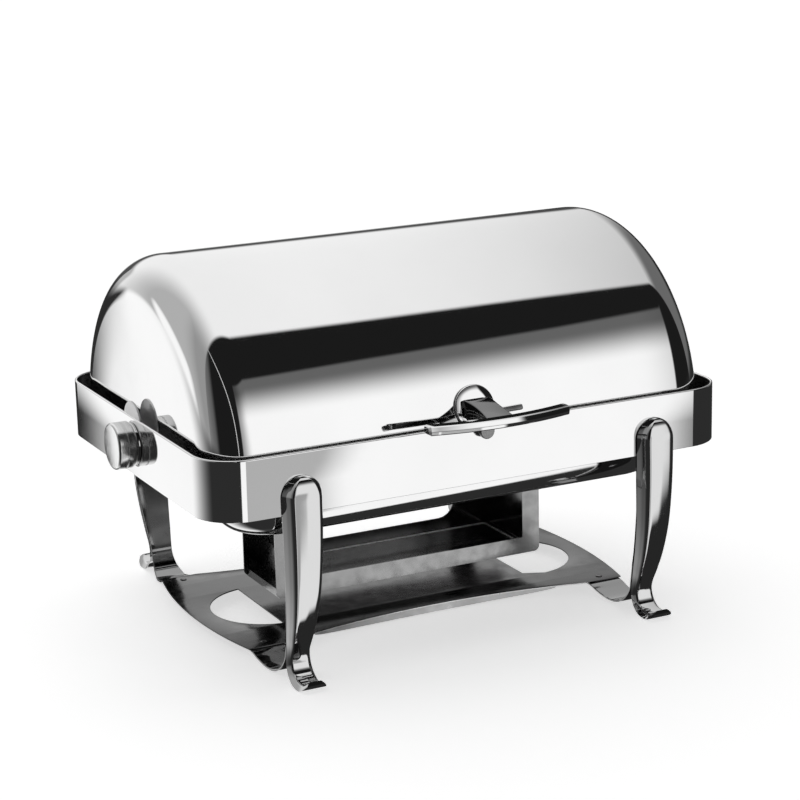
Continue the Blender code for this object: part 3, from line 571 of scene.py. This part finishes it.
def arc_points(start, middle, end, steps):
    """Points on the circle through three points of a plane."""
    a, b, c = (Vector(point) for point in (start, middle, end))
    d = 2 * (a.x * (b.y - c.y) + b.x * (c.y - a.y) + c.x * (a.y - b.y))
    aa, bb, cc = a.length_squared, b.length_squared, c.length_squared
    x = (aa * (b.y - c.y) + bb * (c.y - a.y) + cc * (a.y - b.y)) / d
    y = (aa * (c.x - b.x) + bb * (a.x - c.x) + cc * (b.x - a.x)) / d
    centre = Vector((x, y))
    radius = (a - centre).length
    total = (a - centre).angle_signed(b - centre) + (b - centre).angle_signed(c - centre)
    begin = math.atan2(a.y - y, a.x - x)
    points = []
    for step in range(steps + 1):
        angle = begin - total * step / steps
        points.append((x + radius * math.cos(angle), y + radius * math.sin(angle)))
    return points


def shelf_outline():
    points = []
    front, back = -SHELF_CORNER_Y[-1], SHELF_CORNER_Y[1]
    points += arc_points((SHELF_CORNER_X, front), (SHELF_END_X, 0), (SHELF_CORNER_X, back), 24)
    points += arc_points((SHELF_TAB_X, back), (0, SHELF_WAIST_Y[1]), (-SHELF_TAB_X, back), 48)
    points += arc_points((-SHELF_CORNER_X, back), (-SHELF_END_X, 0), (-SHELF_CORNER_X, front), 24)
    points += arc_points((-SHELF_TAB_X, front), (0, -SHELF_WAIST_Y[-1]), (SHELF_TAB_X, front), 48)
    return points


def shelf_hole(side):
    inner = HOLE_INNER_X[side]
    lead = min(math.radians(86), math.acos((inner - HOLE_CENTRE_X) / HOLE_RADIUS))
    points = []
    for step in range(41):
        angle = -lead + 2 * lead * step / 40
        points.append((HOLE_CENTRE_X + HOLE_RADIUS * math.cos(angle), HOLE_RADIUS * math.sin(angle)))
    if inner < HOLE_CENTRE_X:
        points += [(inner, HOLE_INNER_HALF_Y), (inner, -HOLE_INNER_HALF_Y)]
    return [(side * x, y) for x, y in points]


def build_shelf():
    """The plate is a filled outline with rounded edges; the turned-down lips join it underneath."""
    curve = bpy.data.curves.new("shelf_plate", "CURVE")
    curve.dimensions = "2D"
    curve.fill_mode = "BOTH"
    edge = 0.0004
    curve.extrude = SHELF_SHEET / 2 - edge
    curve.bevel_depth = edge
    curve.bevel_resolution = 2
    curve.offset = -edge
    for outline in (shelf_outline(), shelf_hole(-1), shelf_hole(1)):
        spline = curve.splines.new("POLY")
        spline.points.add(len(outline) - 1)
        for point, (x, y) in zip(spline.points, outline):
            point.co = (x, y, 0, 1)
        spline.use_cyclic_u = True
    carrier = bpy.data.objects.new("shelf_plate_outline", curve)
    mesh = bpy.data.meshes.new_from_object(carrier)
    bpy.data.objects.remove(carrier)
    mesh.name = "shelf_plate"
    bm = bmesh.new()
    bm.from_mesh(mesh)
    bmesh.ops.remove_doubles(bm, verts=bm.verts, dist=0.00002)
    mesh = finish_mesh(bm, "shelf_plate")
    # The shelf's steel is painted near black (0.10): painted shade for the dark underside of the dish that
    # it reflects.
    metal = steel("shelf_steel", 0.10, 0.16, 0.12)
    lip_steel = steel("shelf_lip_steel", 0.62, 0.34, 0.05)
    plate = place("shelf_plate", mesh, metal, "frame", ["shelf"],
                  Matrix.Translation((0, 0, SHELF_TOP - SHELF_SHEET / 2)))
    # The concave front edge gets a bright copy of the steel (0.90): a painted highlight along the shelf's
    # front edge.
    plate.data.materials.append(steel("shelf_edge_painted_highlight", 0.90, 0.30, 0.05))
    for face in plate.data.polygons:
        concave = abs(face.center.x) < SHELF_TAB_X and -SHELF_CORNER_Y[-1] < face.center.y < -0.09
        if concave and abs(face.normal.z) < 0.95:
            face.material_index = 1
    for name, sy in (("front", -1), ("back", 1)):
        place(f"shelf_lip_{name}", lip_mesh(f"shelf_lip_{name}", sy), lip_steel, "frame")


def lip_mesh(name, sy):
    corner_y = SHELF_CORNER_Y[sy]
    edge = arc_points((-SHELF_TAB_X, corner_y), (0, SHELF_WAIST_Y[sy]), (SHELF_TAB_X, corner_y), 96)
    span = [point for point in edge if abs(point[0]) <= SHELF_LIP_HALF_X]
    rings = []
    for x, y in span:
        depth = SHELF_LIP_DEPTH * math.cos(math.pi / 2 * x / SHELF_LIP_HALF_X) ** 0.5 + 0.0004
        low = SHELF_TOP - SHELF_SHEET - depth
        top = SHELF_TOP - 0.0003
        rings.append([(x, sy * (y - 0.0001), top), (x, sy * (y - SHELF_SHEET), top),
                      (x, sy * (y - SHELF_SHEET), low + 0.0003), (x, sy * (y - SHELF_SHEET / 2), low),
                      (x, sy * (y - 0.0001), low + 0.0003)])
    return loft(name, rings)


# ---- ends ----
def build_ends():
    chrome = steel("end_chrome", 0.84, 0.04, 0.05)
    plate_metal = steel("end_plate_satin", 0.90, 0.35, 0.03, metallic=0.4)
    face = BAND_HALF_X - BAND_SHEET - 0.0003
    for name, side in SIDES.items():
        low, high = (Vector(corner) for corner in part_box(f"end_plate_{name}"))
        radius = (high.y - low.y) / 2
        centre_z = high.z - radius
        thick = high.x - low.x
        plate = [(0.0, thick), (radius - 0.0012, thick), (radius - 0.0004, thick - 0.0004),
                 (radius, thick - 0.0012), (radius, 0.0006), (radius - 0.0006, 0.0), (0.0, 0.0)]
        place(f"end_plate_turned_{name}", turned_mesh(f"end_plate_turned_{name}", plate, 72), plate_metal,
              "frame", [f"end_plate_{name}"],
              towards((-side, 0, 0), (side * face, 0, centre_z)))
        low, high = (Vector(corner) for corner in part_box(f"knob_base_{name}"))
        radius = (high.y - low.y) / 2
        thick = high.x - low.x
        ring = [(0.0, thick), (radius - 0.0006, thick), (radius, thick - 0.0006), (radius, 0.0), (0.0, 0.0)]
        inner = low.x if side > 0 else high.x
        place(f"knob_base_turned_{name}", turned_mesh(f"knob_base_turned_{name}", ring, 72), chrome,
              "frame", [f"knob_base_{name}"], towards((side, 0, 0), (inner, 0, PIVOT_Z)))


def build_knobs():
    metal = brushed("knob_brushed", 0.85, 0.20, (1, 1, 60), 0.4, 22.0)
    face_metal = brushed("knob_face_steel", 0.97, 0.22, (1, 1, 1), 0.0, 90.0)
    for name, side in SIDES.items():
        low, high = (Vector(corner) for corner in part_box(f"knob_{name}"))
        radius = (high.y - low.y) / 2
        length = high.x - low.x
        edge = 0.0034
        profile = [(0.0, length), (radius - edge, length)]
        for step in range(1, 7):
            angle = math.pi / 2 * step / 6
            profile.append((radius - edge + edge * math.sin(angle), length - edge * (1 - math.cos(angle))))
        groove = length * 0.44
        profile += [(radius, groove + 0.0009), (radius - 0.0003, groove + 0.0006),
                    (radius - 0.0011, groove + 0.0005), (radius - 0.0011, groove - 0.0005),
                    (radius - 0.0003, groove - 0.0006), (radius, groove - 0.0009),
                    (radius, 0.0012), (radius - 0.0012, 0.0), (0.0, 0.0)]
        inner = low.x if side > 0 else high.x
        knob = place(f"knob_turned_{name}", turned_mesh(f"knob_turned_{name}", profile, 96), metal,
                     f"knob_{name}", [f"knob_{name}"],
                     towards((side, 0, 0), (inner, 0, PIVOT_Z)))
        knob.data.materials.append(face_metal)
        for face in knob.data.polygons:
            if face.normal.z > 0.9:
                face.material_index = 1


# ---- lid and handle ----
def build_lid():
    points = [(0.0, LID_RADIUS), (LID_HALF_X * 0.4, LID_RADIUS)]
    for step in range(25):
        angle = math.pi / 2 * step / 24
        points.append((LID_HALF_X - LID_FILLET + LID_FILLET * math.sin(angle),
                       LID_RADIUS - LID_FILLET + LID_FILLET * math.cos(angle)))
    points += [(LID_HALF_X, LID_RADIUS * 0.5), (LID_HALF_X, 0.0)]
    full = [(-x, radius) for x, radius in reversed(points[1:])] + points
    bm = bmesh.new()
    verts = [bm.verts.new((x, -radius, LID_AXIS_Z)) for x, radius in full]
    edges = [bm.edges.new(pair) for pair in zip(verts, verts[1:])]
    bmesh.ops.spin(bm, geom=verts + edges, axis=(1, 0, 0), cent=(0, 0, LID_AXIS_Z),
                   angle=-math.pi, steps=128)
    bmesh.ops.remove_doubles(bm, verts=bm.verts, dist=0.00001)
    rim = [edge for edge in bm.edges if edge.is_boundary]
    skirt = bmesh.ops.extrude_edge_only(bm, edges=rim)
    lowered = [item for item in skirt["geom"] if isinstance(item, bmesh.types.BMVert)]
    bmesh.ops.translate(bm, verts=lowered, vec=(0, 0, LID_BOTTOM - LID_AXIS_Z))
    lid = place("lid_pressed", finish_mesh(bm, "lid_pressed", 50), steel("lid_steel", 0.86, 0.035, 0.06),
                "lid", ["lid"])
    add_sheet(lid, LID_SHEET)


def build_handle():
    chrome = steel("handle_chrome", 0.84, 0.03, 0.03)
    rise = ROSETTE_Z - LID_AXIS_Z
    reach = math.sqrt(LID_RADIUS ** 2 - rise ** 2)
    tilt = math.atan2(rise, reach)
    thick = 0.0035
    r = ROSETTE_RADIUS
    rosette = [(0.0, thick), (r * 0.6, thick - 0.0001), (r - 0.0014, thick - 0.0004),
               (r - 0.0004, thick - 0.0011), (r, thick - 0.0020), (r, 0.0004), (r - 0.0004, 0.0),
               (0.0, 0.0)]
    outwards = Vector((0, -math.cos(tilt), math.sin(tilt)))
    seat = Vector((0, -reach, ROSETTE_Z)) + outwards * 0.0003
    place("handle_rosette_turned", turned_mesh("handle_rosette_turned", rosette, 72), chrome, "lid",
          ["handle_rosette"], towards(outwards, seat))
    build_bracket(steel("bracket_chrome", 0.20, 0.08, 0.05), reach)
    build_bar(chrome)
    rubber = plastic("bumper_rubber", 0.05, 0.6)
    low, high = (Vector(corner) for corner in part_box("handle_bumper"))
    radius = (high.x - low.x) / 2
    depth = high.y - low.y
    bumper = [(0.0, depth), (radius - 0.0012, depth), (radius - 0.0003, depth - 0.0004),
              (radius, depth - 0.0012), (radius, 0.0), (0.0, 0.0)]
    place("handle_bumper_moulded", turned_mesh("handle_bumper_moulded", bumper, 48), rubber, "lid",
          ["handle_bumper"],
          towards((0, 1, 0), (0, low.y - MID_Y, (low.z + high.z) / 2)))


def build_bracket(chrome, reach):
    """An arched plate from the rosette to the bar, and a round boss below it for the bumper."""
    front = -(BAR_MID_Y - BAR_DEPTH - 0.0009)
    back = -(reach + 0.0085)
    rings = []
    for step in range(17):
        t = step / 16
        y = back + (front - back) * t
        half_width = 0.0170 - 0.0020 * math.sin(math.pi * t)
        low = BAR_BOTTOM - 0.0025 + 0.0020 * math.sin(math.pi * t)
        high = BAR_TOP + 0.0080 - 0.0085 * t ** 1.5
        outline = rounded_rectangle(half_width, (high - low) / 2, 0.0022, 5)
        rings.append([(x, y, (high + low) / 2 + z) for x, z in outline])
    place("handle_bracket_arch", loft("handle_bracket_arch", rings), chrome, "lid",
          ["handle_bracket"])
    depth = TAB_FRONT_Y - TAB_BACK_Y
    r = 0.0090
    boss = [(0.0, depth), (r - 0.0008, depth), (r, depth - 0.0008), (r, 0.0), (0.0, 0.0)]
    grey = brushed("boss_steel", 0.35, 0.3, (1, 1, 1), 0.0, 300.0)
    place("handle_boss", turned_mesh("handle_boss", boss, 48), grey, "lid", (),
          towards((0, -1, 0), (0, -TAB_BACK_Y, BUMPER_Z)))
    tab_rings = []
    for z, half_width in ((BUMPER_Z, 0.0060), (BAR_BOTTOM - 0.0040, 0.0062), (BAR_BOTTOM - 0.0015, 0.0090)):
        outline = rounded_rectangle(half_width, depth / 2 - 0.0004, 0.0012, 5)
        tab_rings.append([(x, y - (TAB_BACK_Y + TAB_FRONT_Y) / 2, z) for x, y in outline])
    place("handle_tab", loft("handle_tab", tab_rings), grey, "lid")


def build_bar(chrome):
    path = arc_points((-BAR_HALF_X, -BAR_END_Y), (0, -BAR_MID_Y), (BAR_HALF_X, -BAR_END_Y), 48)
    height = BAR_TOP - BAR_BOTTOM
    ridge = BAR_BOTTOM + height * 0.42
    section = [(0.0, ridge), (0.0007, BAR_BOTTOM + 0.0013), (0.0022, BAR_BOTTOM),
               (BAR_DEPTH - 0.0015, BAR_BOTTOM), (BAR_DEPTH, BAR_BOTTOM + 0.0015),
               (BAR_DEPTH, BAR_TOP - 0.0015), (BAR_DEPTH - 0.0015, BAR_TOP), (0.0026, BAR_TOP),
               (0.0012, BAR_TOP - 0.0010), (0.0003, ridge + 0.0004)]
    rings = []
    last = len(path) - 1
    for index, (x, y) in enumerate(path):
        shrink = 1.0
        if index in (0, last):
            shrink = 0.72
        centre_depth = BAR_DEPTH / 2
        centre_z = (BAR_TOP + BAR_BOTTOM) / 2
        ring = []
        for depth, z in section:
            ring.append((x, y + centre_depth + (depth - centre_depth) * shrink,
                         centre_z + (z - centre_z) * shrink))
        rings.append(ring)
    inset = 0.0022
    for ring in (1, last - 1):
        sign = -1 if ring == 1 else 1
        rings[ring] = [(sign * (BAR_HALF_X - inset), y, z) for x, y, z in rings[ring]]
    place("handle_bar_formed", loft("handle_bar_formed", rings), chrome, "lid",
          ["handle_bar"])


# ---- pans ----
def pan_rings(levels, steps=16):
    rings = []
    for half_x, half_y, corner, height in levels:
        rings.append([(x, y, height) for x, y in rounded_rectangle(half_x, half_y, corner, steps)])
    return rings


def fillet_levels(half_x, half_y, corner, bottom, fillet, steps=10):
    levels = []
    for step in range(steps + 1):
        angle = math.pi / 2 * step / steps
        inset = fillet * (1 - math.cos(angle))
        levels.append((half_x - inset, half_y - inset, max(corner - inset, 0.004),
                       bottom + fillet * (1 - math.sin(angle))))
    return levels


def open_loft(name, rings):
    """A pan's skin: rings from its mouth down, with a flat floor across the last."""
    bm = bmesh.new()
    rows = [[bm.verts.new(point) for point in ring] for ring in rings]
    for first, second in zip(rows, rows[1:]):
        count = len(first)
        for index in range(count):
            following = (index + 1) % count
            bm.faces.new((first[index], first[following], second[following], second[index]))
    bm.faces.new(rows[-1])
    return finish_mesh(bm, name)


def build_pans():
    mouth = (FOOD_HALF_X - 0.012, FOOD_HALF_Y - 0.012, 0.030)
    edge = 0.0015
    levels = [(*mouth, WATER_TOP - 0.003), (*mouth, WATER_TOP),
              (WATER_HALF_X - edge, WATER_HALF_Y - edge, WATER_CORNER - edge, WATER_TOP),
              (WATER_HALF_X, WATER_HALF_Y, WATER_CORNER, WATER_TOP - edge)]
    levels += fillet_levels(WATER_HALF_X, WATER_HALF_Y, WATER_CORNER, WATER_BOTTOM, WATER_FILLET)
    water = place("water_pan_drawn", open_loft("water_pan_drawn", pan_rings(levels)),
                  steel("water_pan_steel", 0.84, 0.05, 0.10), "water_pan", ["water_pan"])
    add_sheet(water, PAN_SHEET)
    half_x, half_y = FOOD_HALF_X - 0.0145, FOOD_HALF_Y - 0.0145
    levels = [(FOOD_HALF_X, FOOD_HALF_Y, 0.022, FOOD_TOP - 0.0010),
              (FOOD_HALF_X - 0.0010, FOOD_HALF_Y - 0.0010, 0.021, FOOD_TOP),
              (half_x + 0.0020, half_y + 0.0020, 0.030, FOOD_TOP),
              (half_x, half_y, 0.028, FOOD_TOP - 0.0020)]
    levels += fillet_levels(half_x - 0.004, half_y - 0.004, 0.026, FOOD_BOTTOM, 0.012)
    food = place("food_pan_drawn", open_loft("food_pan_drawn", pan_rings(levels)),
                 brushed("food_pan_steel", 0.66, 0.26, (1, 20, 20), 0.3), "food_pan",
                 ["food_pan"])
    add_sheet(food, PAN_SHEET)


# ---- CAD nodes that stay ----
def dress_kept_nodes():
    # The box's base steel is painted dark (0.16): painted shade for its shaded inside; the outer faces get
    # a lighter, lit copy further down.
    box_painted_shade_steel = steel("box_painted_shade_steel", 0.16, 0.14, 0.15)
    # The burner tray is painted dark (0.22): painted shade inside the box.
    tray_painted_shade_steel = steel("tray_painted_shade_steel", 0.22, 0.20, 0.2)
    hanger_steel = brushed("hanger_steel", 0.55, 0.30, (1, 1, 20), 0.3)
    pin_steel = brushed("pin_steel", 0.60, 0.22, (1, 30, 30), 0.4)
    nylon = plastic("bush_nylon", 0.80, 0.45)
    looks = {
        "burner_box": (box_painted_shade_steel, 0.0004), "burner_tray": (tray_painted_shade_steel, 0.0005),
        "hanger_left": (hanger_steel, 0.0005), "hanger_right": (hanger_steel, 0.0005),
        "pivot_pin_left": (pin_steel, 0.0), "pivot_pin_right": (pin_steel, 0.0),
        "pivot_nut_left": (pin_steel, 0.0004), "pivot_nut_right": (pin_steel, 0.0004),
        "lid_hub_left": (pin_steel, 0.0003), "lid_hub_right": (pin_steel, 0.0003),
        "lid_bush_left": (nylon, 0.0), "lid_bush_right": (nylon, 0.0),
        "handle_nut_left": (pin_steel, 0.0003), "handle_nut_right": (pin_steel, 0.0003),
    }
    for node, (material, bevel) in looks.items():
        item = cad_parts[node]
        item.data.materials.clear()
        item.data.materials.append(material)
        if bevel:
            add_bevel(item, bevel)
    paint_box_light_and_shade()
    build_tray_bead()


def build_tray_bead():
    """The burner tray's rim is rolled inwards into a thin bead, coloured pale as a painted highlight along
    the rim.
    """
    low, high = (Vector(corner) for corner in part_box("burner_tray"))
    bead = 0.0012
    half_x, half_y = high.x - TRAY_SHEET, (high.y - low.y) / 2 - TRAY_SHEET
    rings = []
    for step in range(12):
        angle = 2 * math.pi * step / 12
        inset = bead - bead * math.cos(angle)
        outline = rounded_rectangle(half_x - inset, half_y - inset, 0.0060 - inset, 8)
        rings.append([(x, y, high.z - bead + bead * math.sin(angle)) for x, y in outline])
    # Pale, partly diffuse colour (0.90, metallic 0.3): a painted highlight for the bright line along the
    # tray rim.
    metal = steel("tray_bead_painted_highlight", 0.90, 0.30, 0.05, metallic=0.3)
    place("burner_tray_bead", loft("burner_tray_bead", rings, closed_loop=True), metal, "frame")


def paint_box_light_and_shade():
    """The burner box is painted dark inside as painted shade, and lighter satin steel on its outer faces
    where light falls.
    """
    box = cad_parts["burner_box"]
    # A lighter copy of the steel (0.38) for the outer faces: painted light on the lit side of the box.
    box.data.materials.append(steel("box_outside_lit_steel", 0.38, 0.20, 0.03))
    low, high = (Vector(corner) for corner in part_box("burner_box"))
    for face in box.data.polygons:
        centre = box.matrix_world @ face.center
        normal = box.matrix_world.to_3x3() @ face.normal
        front = normal.y < -0.9 and centre.y < low.y + 0.0005
        back = normal.y > 0.9 and centre.y > high.y - 0.0005
        ends = abs(normal.x) > 0.9 and normal.x * centre.x > 0 and abs(centre.x) > BOX_OUTSIDE_X
        if front or back or ends:
            face.material_index = 1


# ---- studio ----
def floor_cards(nodes, azimuth):
    """Brightness of the floor round the dish: white cards on it, and a slow fade round the left."""
    total = FLOOR_GREY
    for begin, end, softness, brightness in FLOOR_CARDS:
        rise = nodes.band(azimuth, begin - softness, begin, 0.0, brightness)
        card = nodes.math("MULTIPLY", rise, nodes.band(azimuth, end + softness, end))
        total = nodes.math("MAXIMUM", total, card)
    fade = nodes.math("POWER", nodes.band(azimuth, FADE_DARK, FADE_WHITE), 1.5)
    fade = nodes.math("MULTIPLY", fade, nodes.band(azimuth, FADE_WHITE - 4.0, FADE_WHITE))
    return nodes.math("MAXIMUM", total, fade)


def world_light():
    """Studio walls by direction: ceiling and back wall white, a white panel in front, the rest dark."""
    world = bpy.data.worlds.new("studio")
    bpy.context.scene.world = world
    world.use_nodes = True
    tree = world.node_tree
    nodes = Nodes(tree)
    background = tree.nodes["Background"]
    direction = nodes.new("ShaderNodeTexCoord").outputs["Generated"]
    split = nodes.new("ShaderNodeSeparateXYZ")
    nodes.link(direction, split.inputs[0])
    x, y, z = split.outputs[0], split.outputs[1], split.outputs[2]
    minus_y = nodes.math("MULTIPLY", y, -1.0)
    azimuth = nodes.math("DEGREES", nodes.math("ARCTAN2", x, minus_y))
    elevation = nodes.math("DEGREES", nodes.math("ARCSINE", z))
    slope = nodes.math("DIVIDE", y, nodes.math("MAXIMUM", z, 0.02))

    ceiling_edge = nodes.band(slope, -0.29, -0.23)
    ceiling_grey = nodes.math("MULTIPLY", nodes.band(x, -0.75, 0.0, 0.30, 0.90),
                              nodes.band(x, 0.40, 0.75, 1.0, 0.15))
    # Low down at the back the wall is dark.
    back_low = nodes.math("MULTIPLY", nodes.band(elevation, 12.0, 5.0, 0.0, 0.93), nodes.band(y, 0.3, 0.6))
    back_low = nodes.math("MULTIPLY", back_low, nodes.band(x, -0.20, -0.05))
    ceiling = nodes.math("MULTIPLY", ceiling_edge, ceiling_grey)
    ceiling = nodes.math("MULTIPLY", ceiling, nodes.math("SUBTRACT", 1.0, back_low))

    left_edge = nodes.band(azimuth, -66.0, -76.0)
    left_grey = nodes.band(azimuth, -70.0, -120.0, 0.10, 0.45)
    low_white = nodes.math("MULTIPLY", nodes.band(elevation, 16.0, 6.0),
                           nodes.band(azimuth, -104.0, -122.0))
    low_white = nodes.math("MULTIPLY", low_white, nodes.band(azimuth, -152.0, -144.0))
    left = nodes.math("MULTIPLY", left_edge, nodes.math("MAXIMUM", left_grey, low_white))

    front_height = nodes.math("MULTIPLY", nodes.band(elevation, 40.0, 22.0, 0.12, 1.0),
                              nodes.band(elevation, 45.0, 43.0))
    front_fade = nodes.band(azimuth, -9.0, 18.0, 0.35, 1.0)
    front_sides = nodes.math("MULTIPLY", nodes.band(azimuth, -10.0, -7.0), nodes.band(x, 0.61, 0.54))
    front_sides = nodes.math("MULTIPLY", front_sides, front_fade)
    front = nodes.math("MULTIPLY", nodes.math("MULTIPLY", front_height, front_sides),
                       nodes.band(minus_y, 0.0, 0.1))

    # A thin bright slit runs up the dark left part of the front, leaning left as it rises.
    slit_x = nodes.math("SUBTRACT", -0.34, nodes.math("MULTIPLY", nodes.math("POWER", z, 4.0), 0.5))
    offset = nodes.math("ABSOLUTE", nodes.math("SUBTRACT", x, slit_x))
    slit = nodes.math("MULTIPLY", nodes.band(offset, 0.015, 0.007, 0.0, 0.75),
                      nodes.band(minus_y, 0.0, 0.1))
    slit = nodes.math("MULTIPLY", slit, nodes.band(elevation, 58.0, 50.0))
    above = nodes.math("MAXIMUM", nodes.math("MAXIMUM", ceiling, left), nodes.math("MAXIMUM", front, slit))
    table = floor_cards(nodes, azimuth)
    near_floor = nodes.band(elevation, -72.0, -86.0)
    below = nodes.math("ADD", nodes.math("MULTIPLY", table, nodes.math("SUBTRACT", 1.0, near_floor)),
                       nodes.math("MULTIPLY", near_floor, 0.035))
    horizon = nodes.band(elevation, -6.0, 1.0)
    lower_part = nodes.math("MULTIPLY", below, nodes.math("SUBTRACT", 1.0, horizon))
    brightest = nodes.math("ADD", nodes.math("MULTIPLY", above, horizon), lower_part)
    total = nodes.math("ADD", nodes.math("MULTIPLY", brightest, 1.08), 0.012)
    grey = nodes.new("ShaderNodeCombineColor")
    for channel in ("Red", "Green", "Blue"):
        nodes.link(total, grey.inputs[channel])
    nodes.link(grey.outputs["Color"], background.inputs["Color"])


def build_floor():
    bm = bmesh.new()
    bmesh.ops.create_grid(bm, x_segments=1, y_segments=1, size=40.0)
    floor = bpy.data.objects.new("floor", finish_mesh(bm, "floor"))
    bpy.context.scene.collection.objects.link(floor)
    material, _, shader = new_material("floor_white")
    shader.inputs["Base Color"].default_value = (0.9, 0.9, 0.9, 1.0)
    shader.inputs["Roughness"].default_value = 0.9
    shader.inputs["Specular IOR Level"].default_value = 0.0
    shader.inputs["Emission Color"].default_value = (1.0, 1.0, 1.0, 1.0)
    shader.inputs["Emission Strength"].default_value = 0.62
    floor.data.materials.append(material)
    floor.visible_glossy = False                 # mirrors see the studio's floor tones in world_light


def build_camera():
    azimuth = math.radians(CAMERA_AZIMUTH)
    elevation = math.radians(CAMERA_ELEVATION)
    roll = math.radians(CAMERA_ROLL)
    back = Vector((-math.sin(azimuth) * math.cos(elevation), -math.cos(azimuth) * math.cos(elevation),
                   math.sin(elevation)))
    forward = -back
    right = forward.cross(Vector((0, 0, 1))).normalized()
    up = right.cross(forward)
    right, up = (right * math.cos(roll) + up * math.sin(roll), up * math.cos(roll) - right * math.sin(roll))
    target = Vector((CAMERA_TARGET_X, MID_Y, CAMERA_TARGET_Z))
    data = bpy.data.cameras.new("camera")
    data.lens = CAMERA_LENS
    data.sensor_width = 36.0
    data.shift_x = CAMERA_SHIFT_X
    camera = bpy.data.objects.new("camera", data)
    bpy.context.scene.collection.objects.link(camera)
    place_at = target + back * CAMERA_DISTANCE
    rotation = Matrix((right, up, back)).transposed().to_4x4()
    camera.matrix_world = Matrix.Translation(place_at) @ rotation
    bpy.context.scene.camera = camera
    bpy.context.scene.view_settings.view_transform = "Standard"


build_band()
build_legs()
build_straps()
build_fasteners()
build_shelf()
build_ends()
build_knobs()
build_lid()
build_handle()
build_pans()
dress_kept_nodes()
world_light()
build_floor()
build_camera()

bpy.context.view_layer.update()
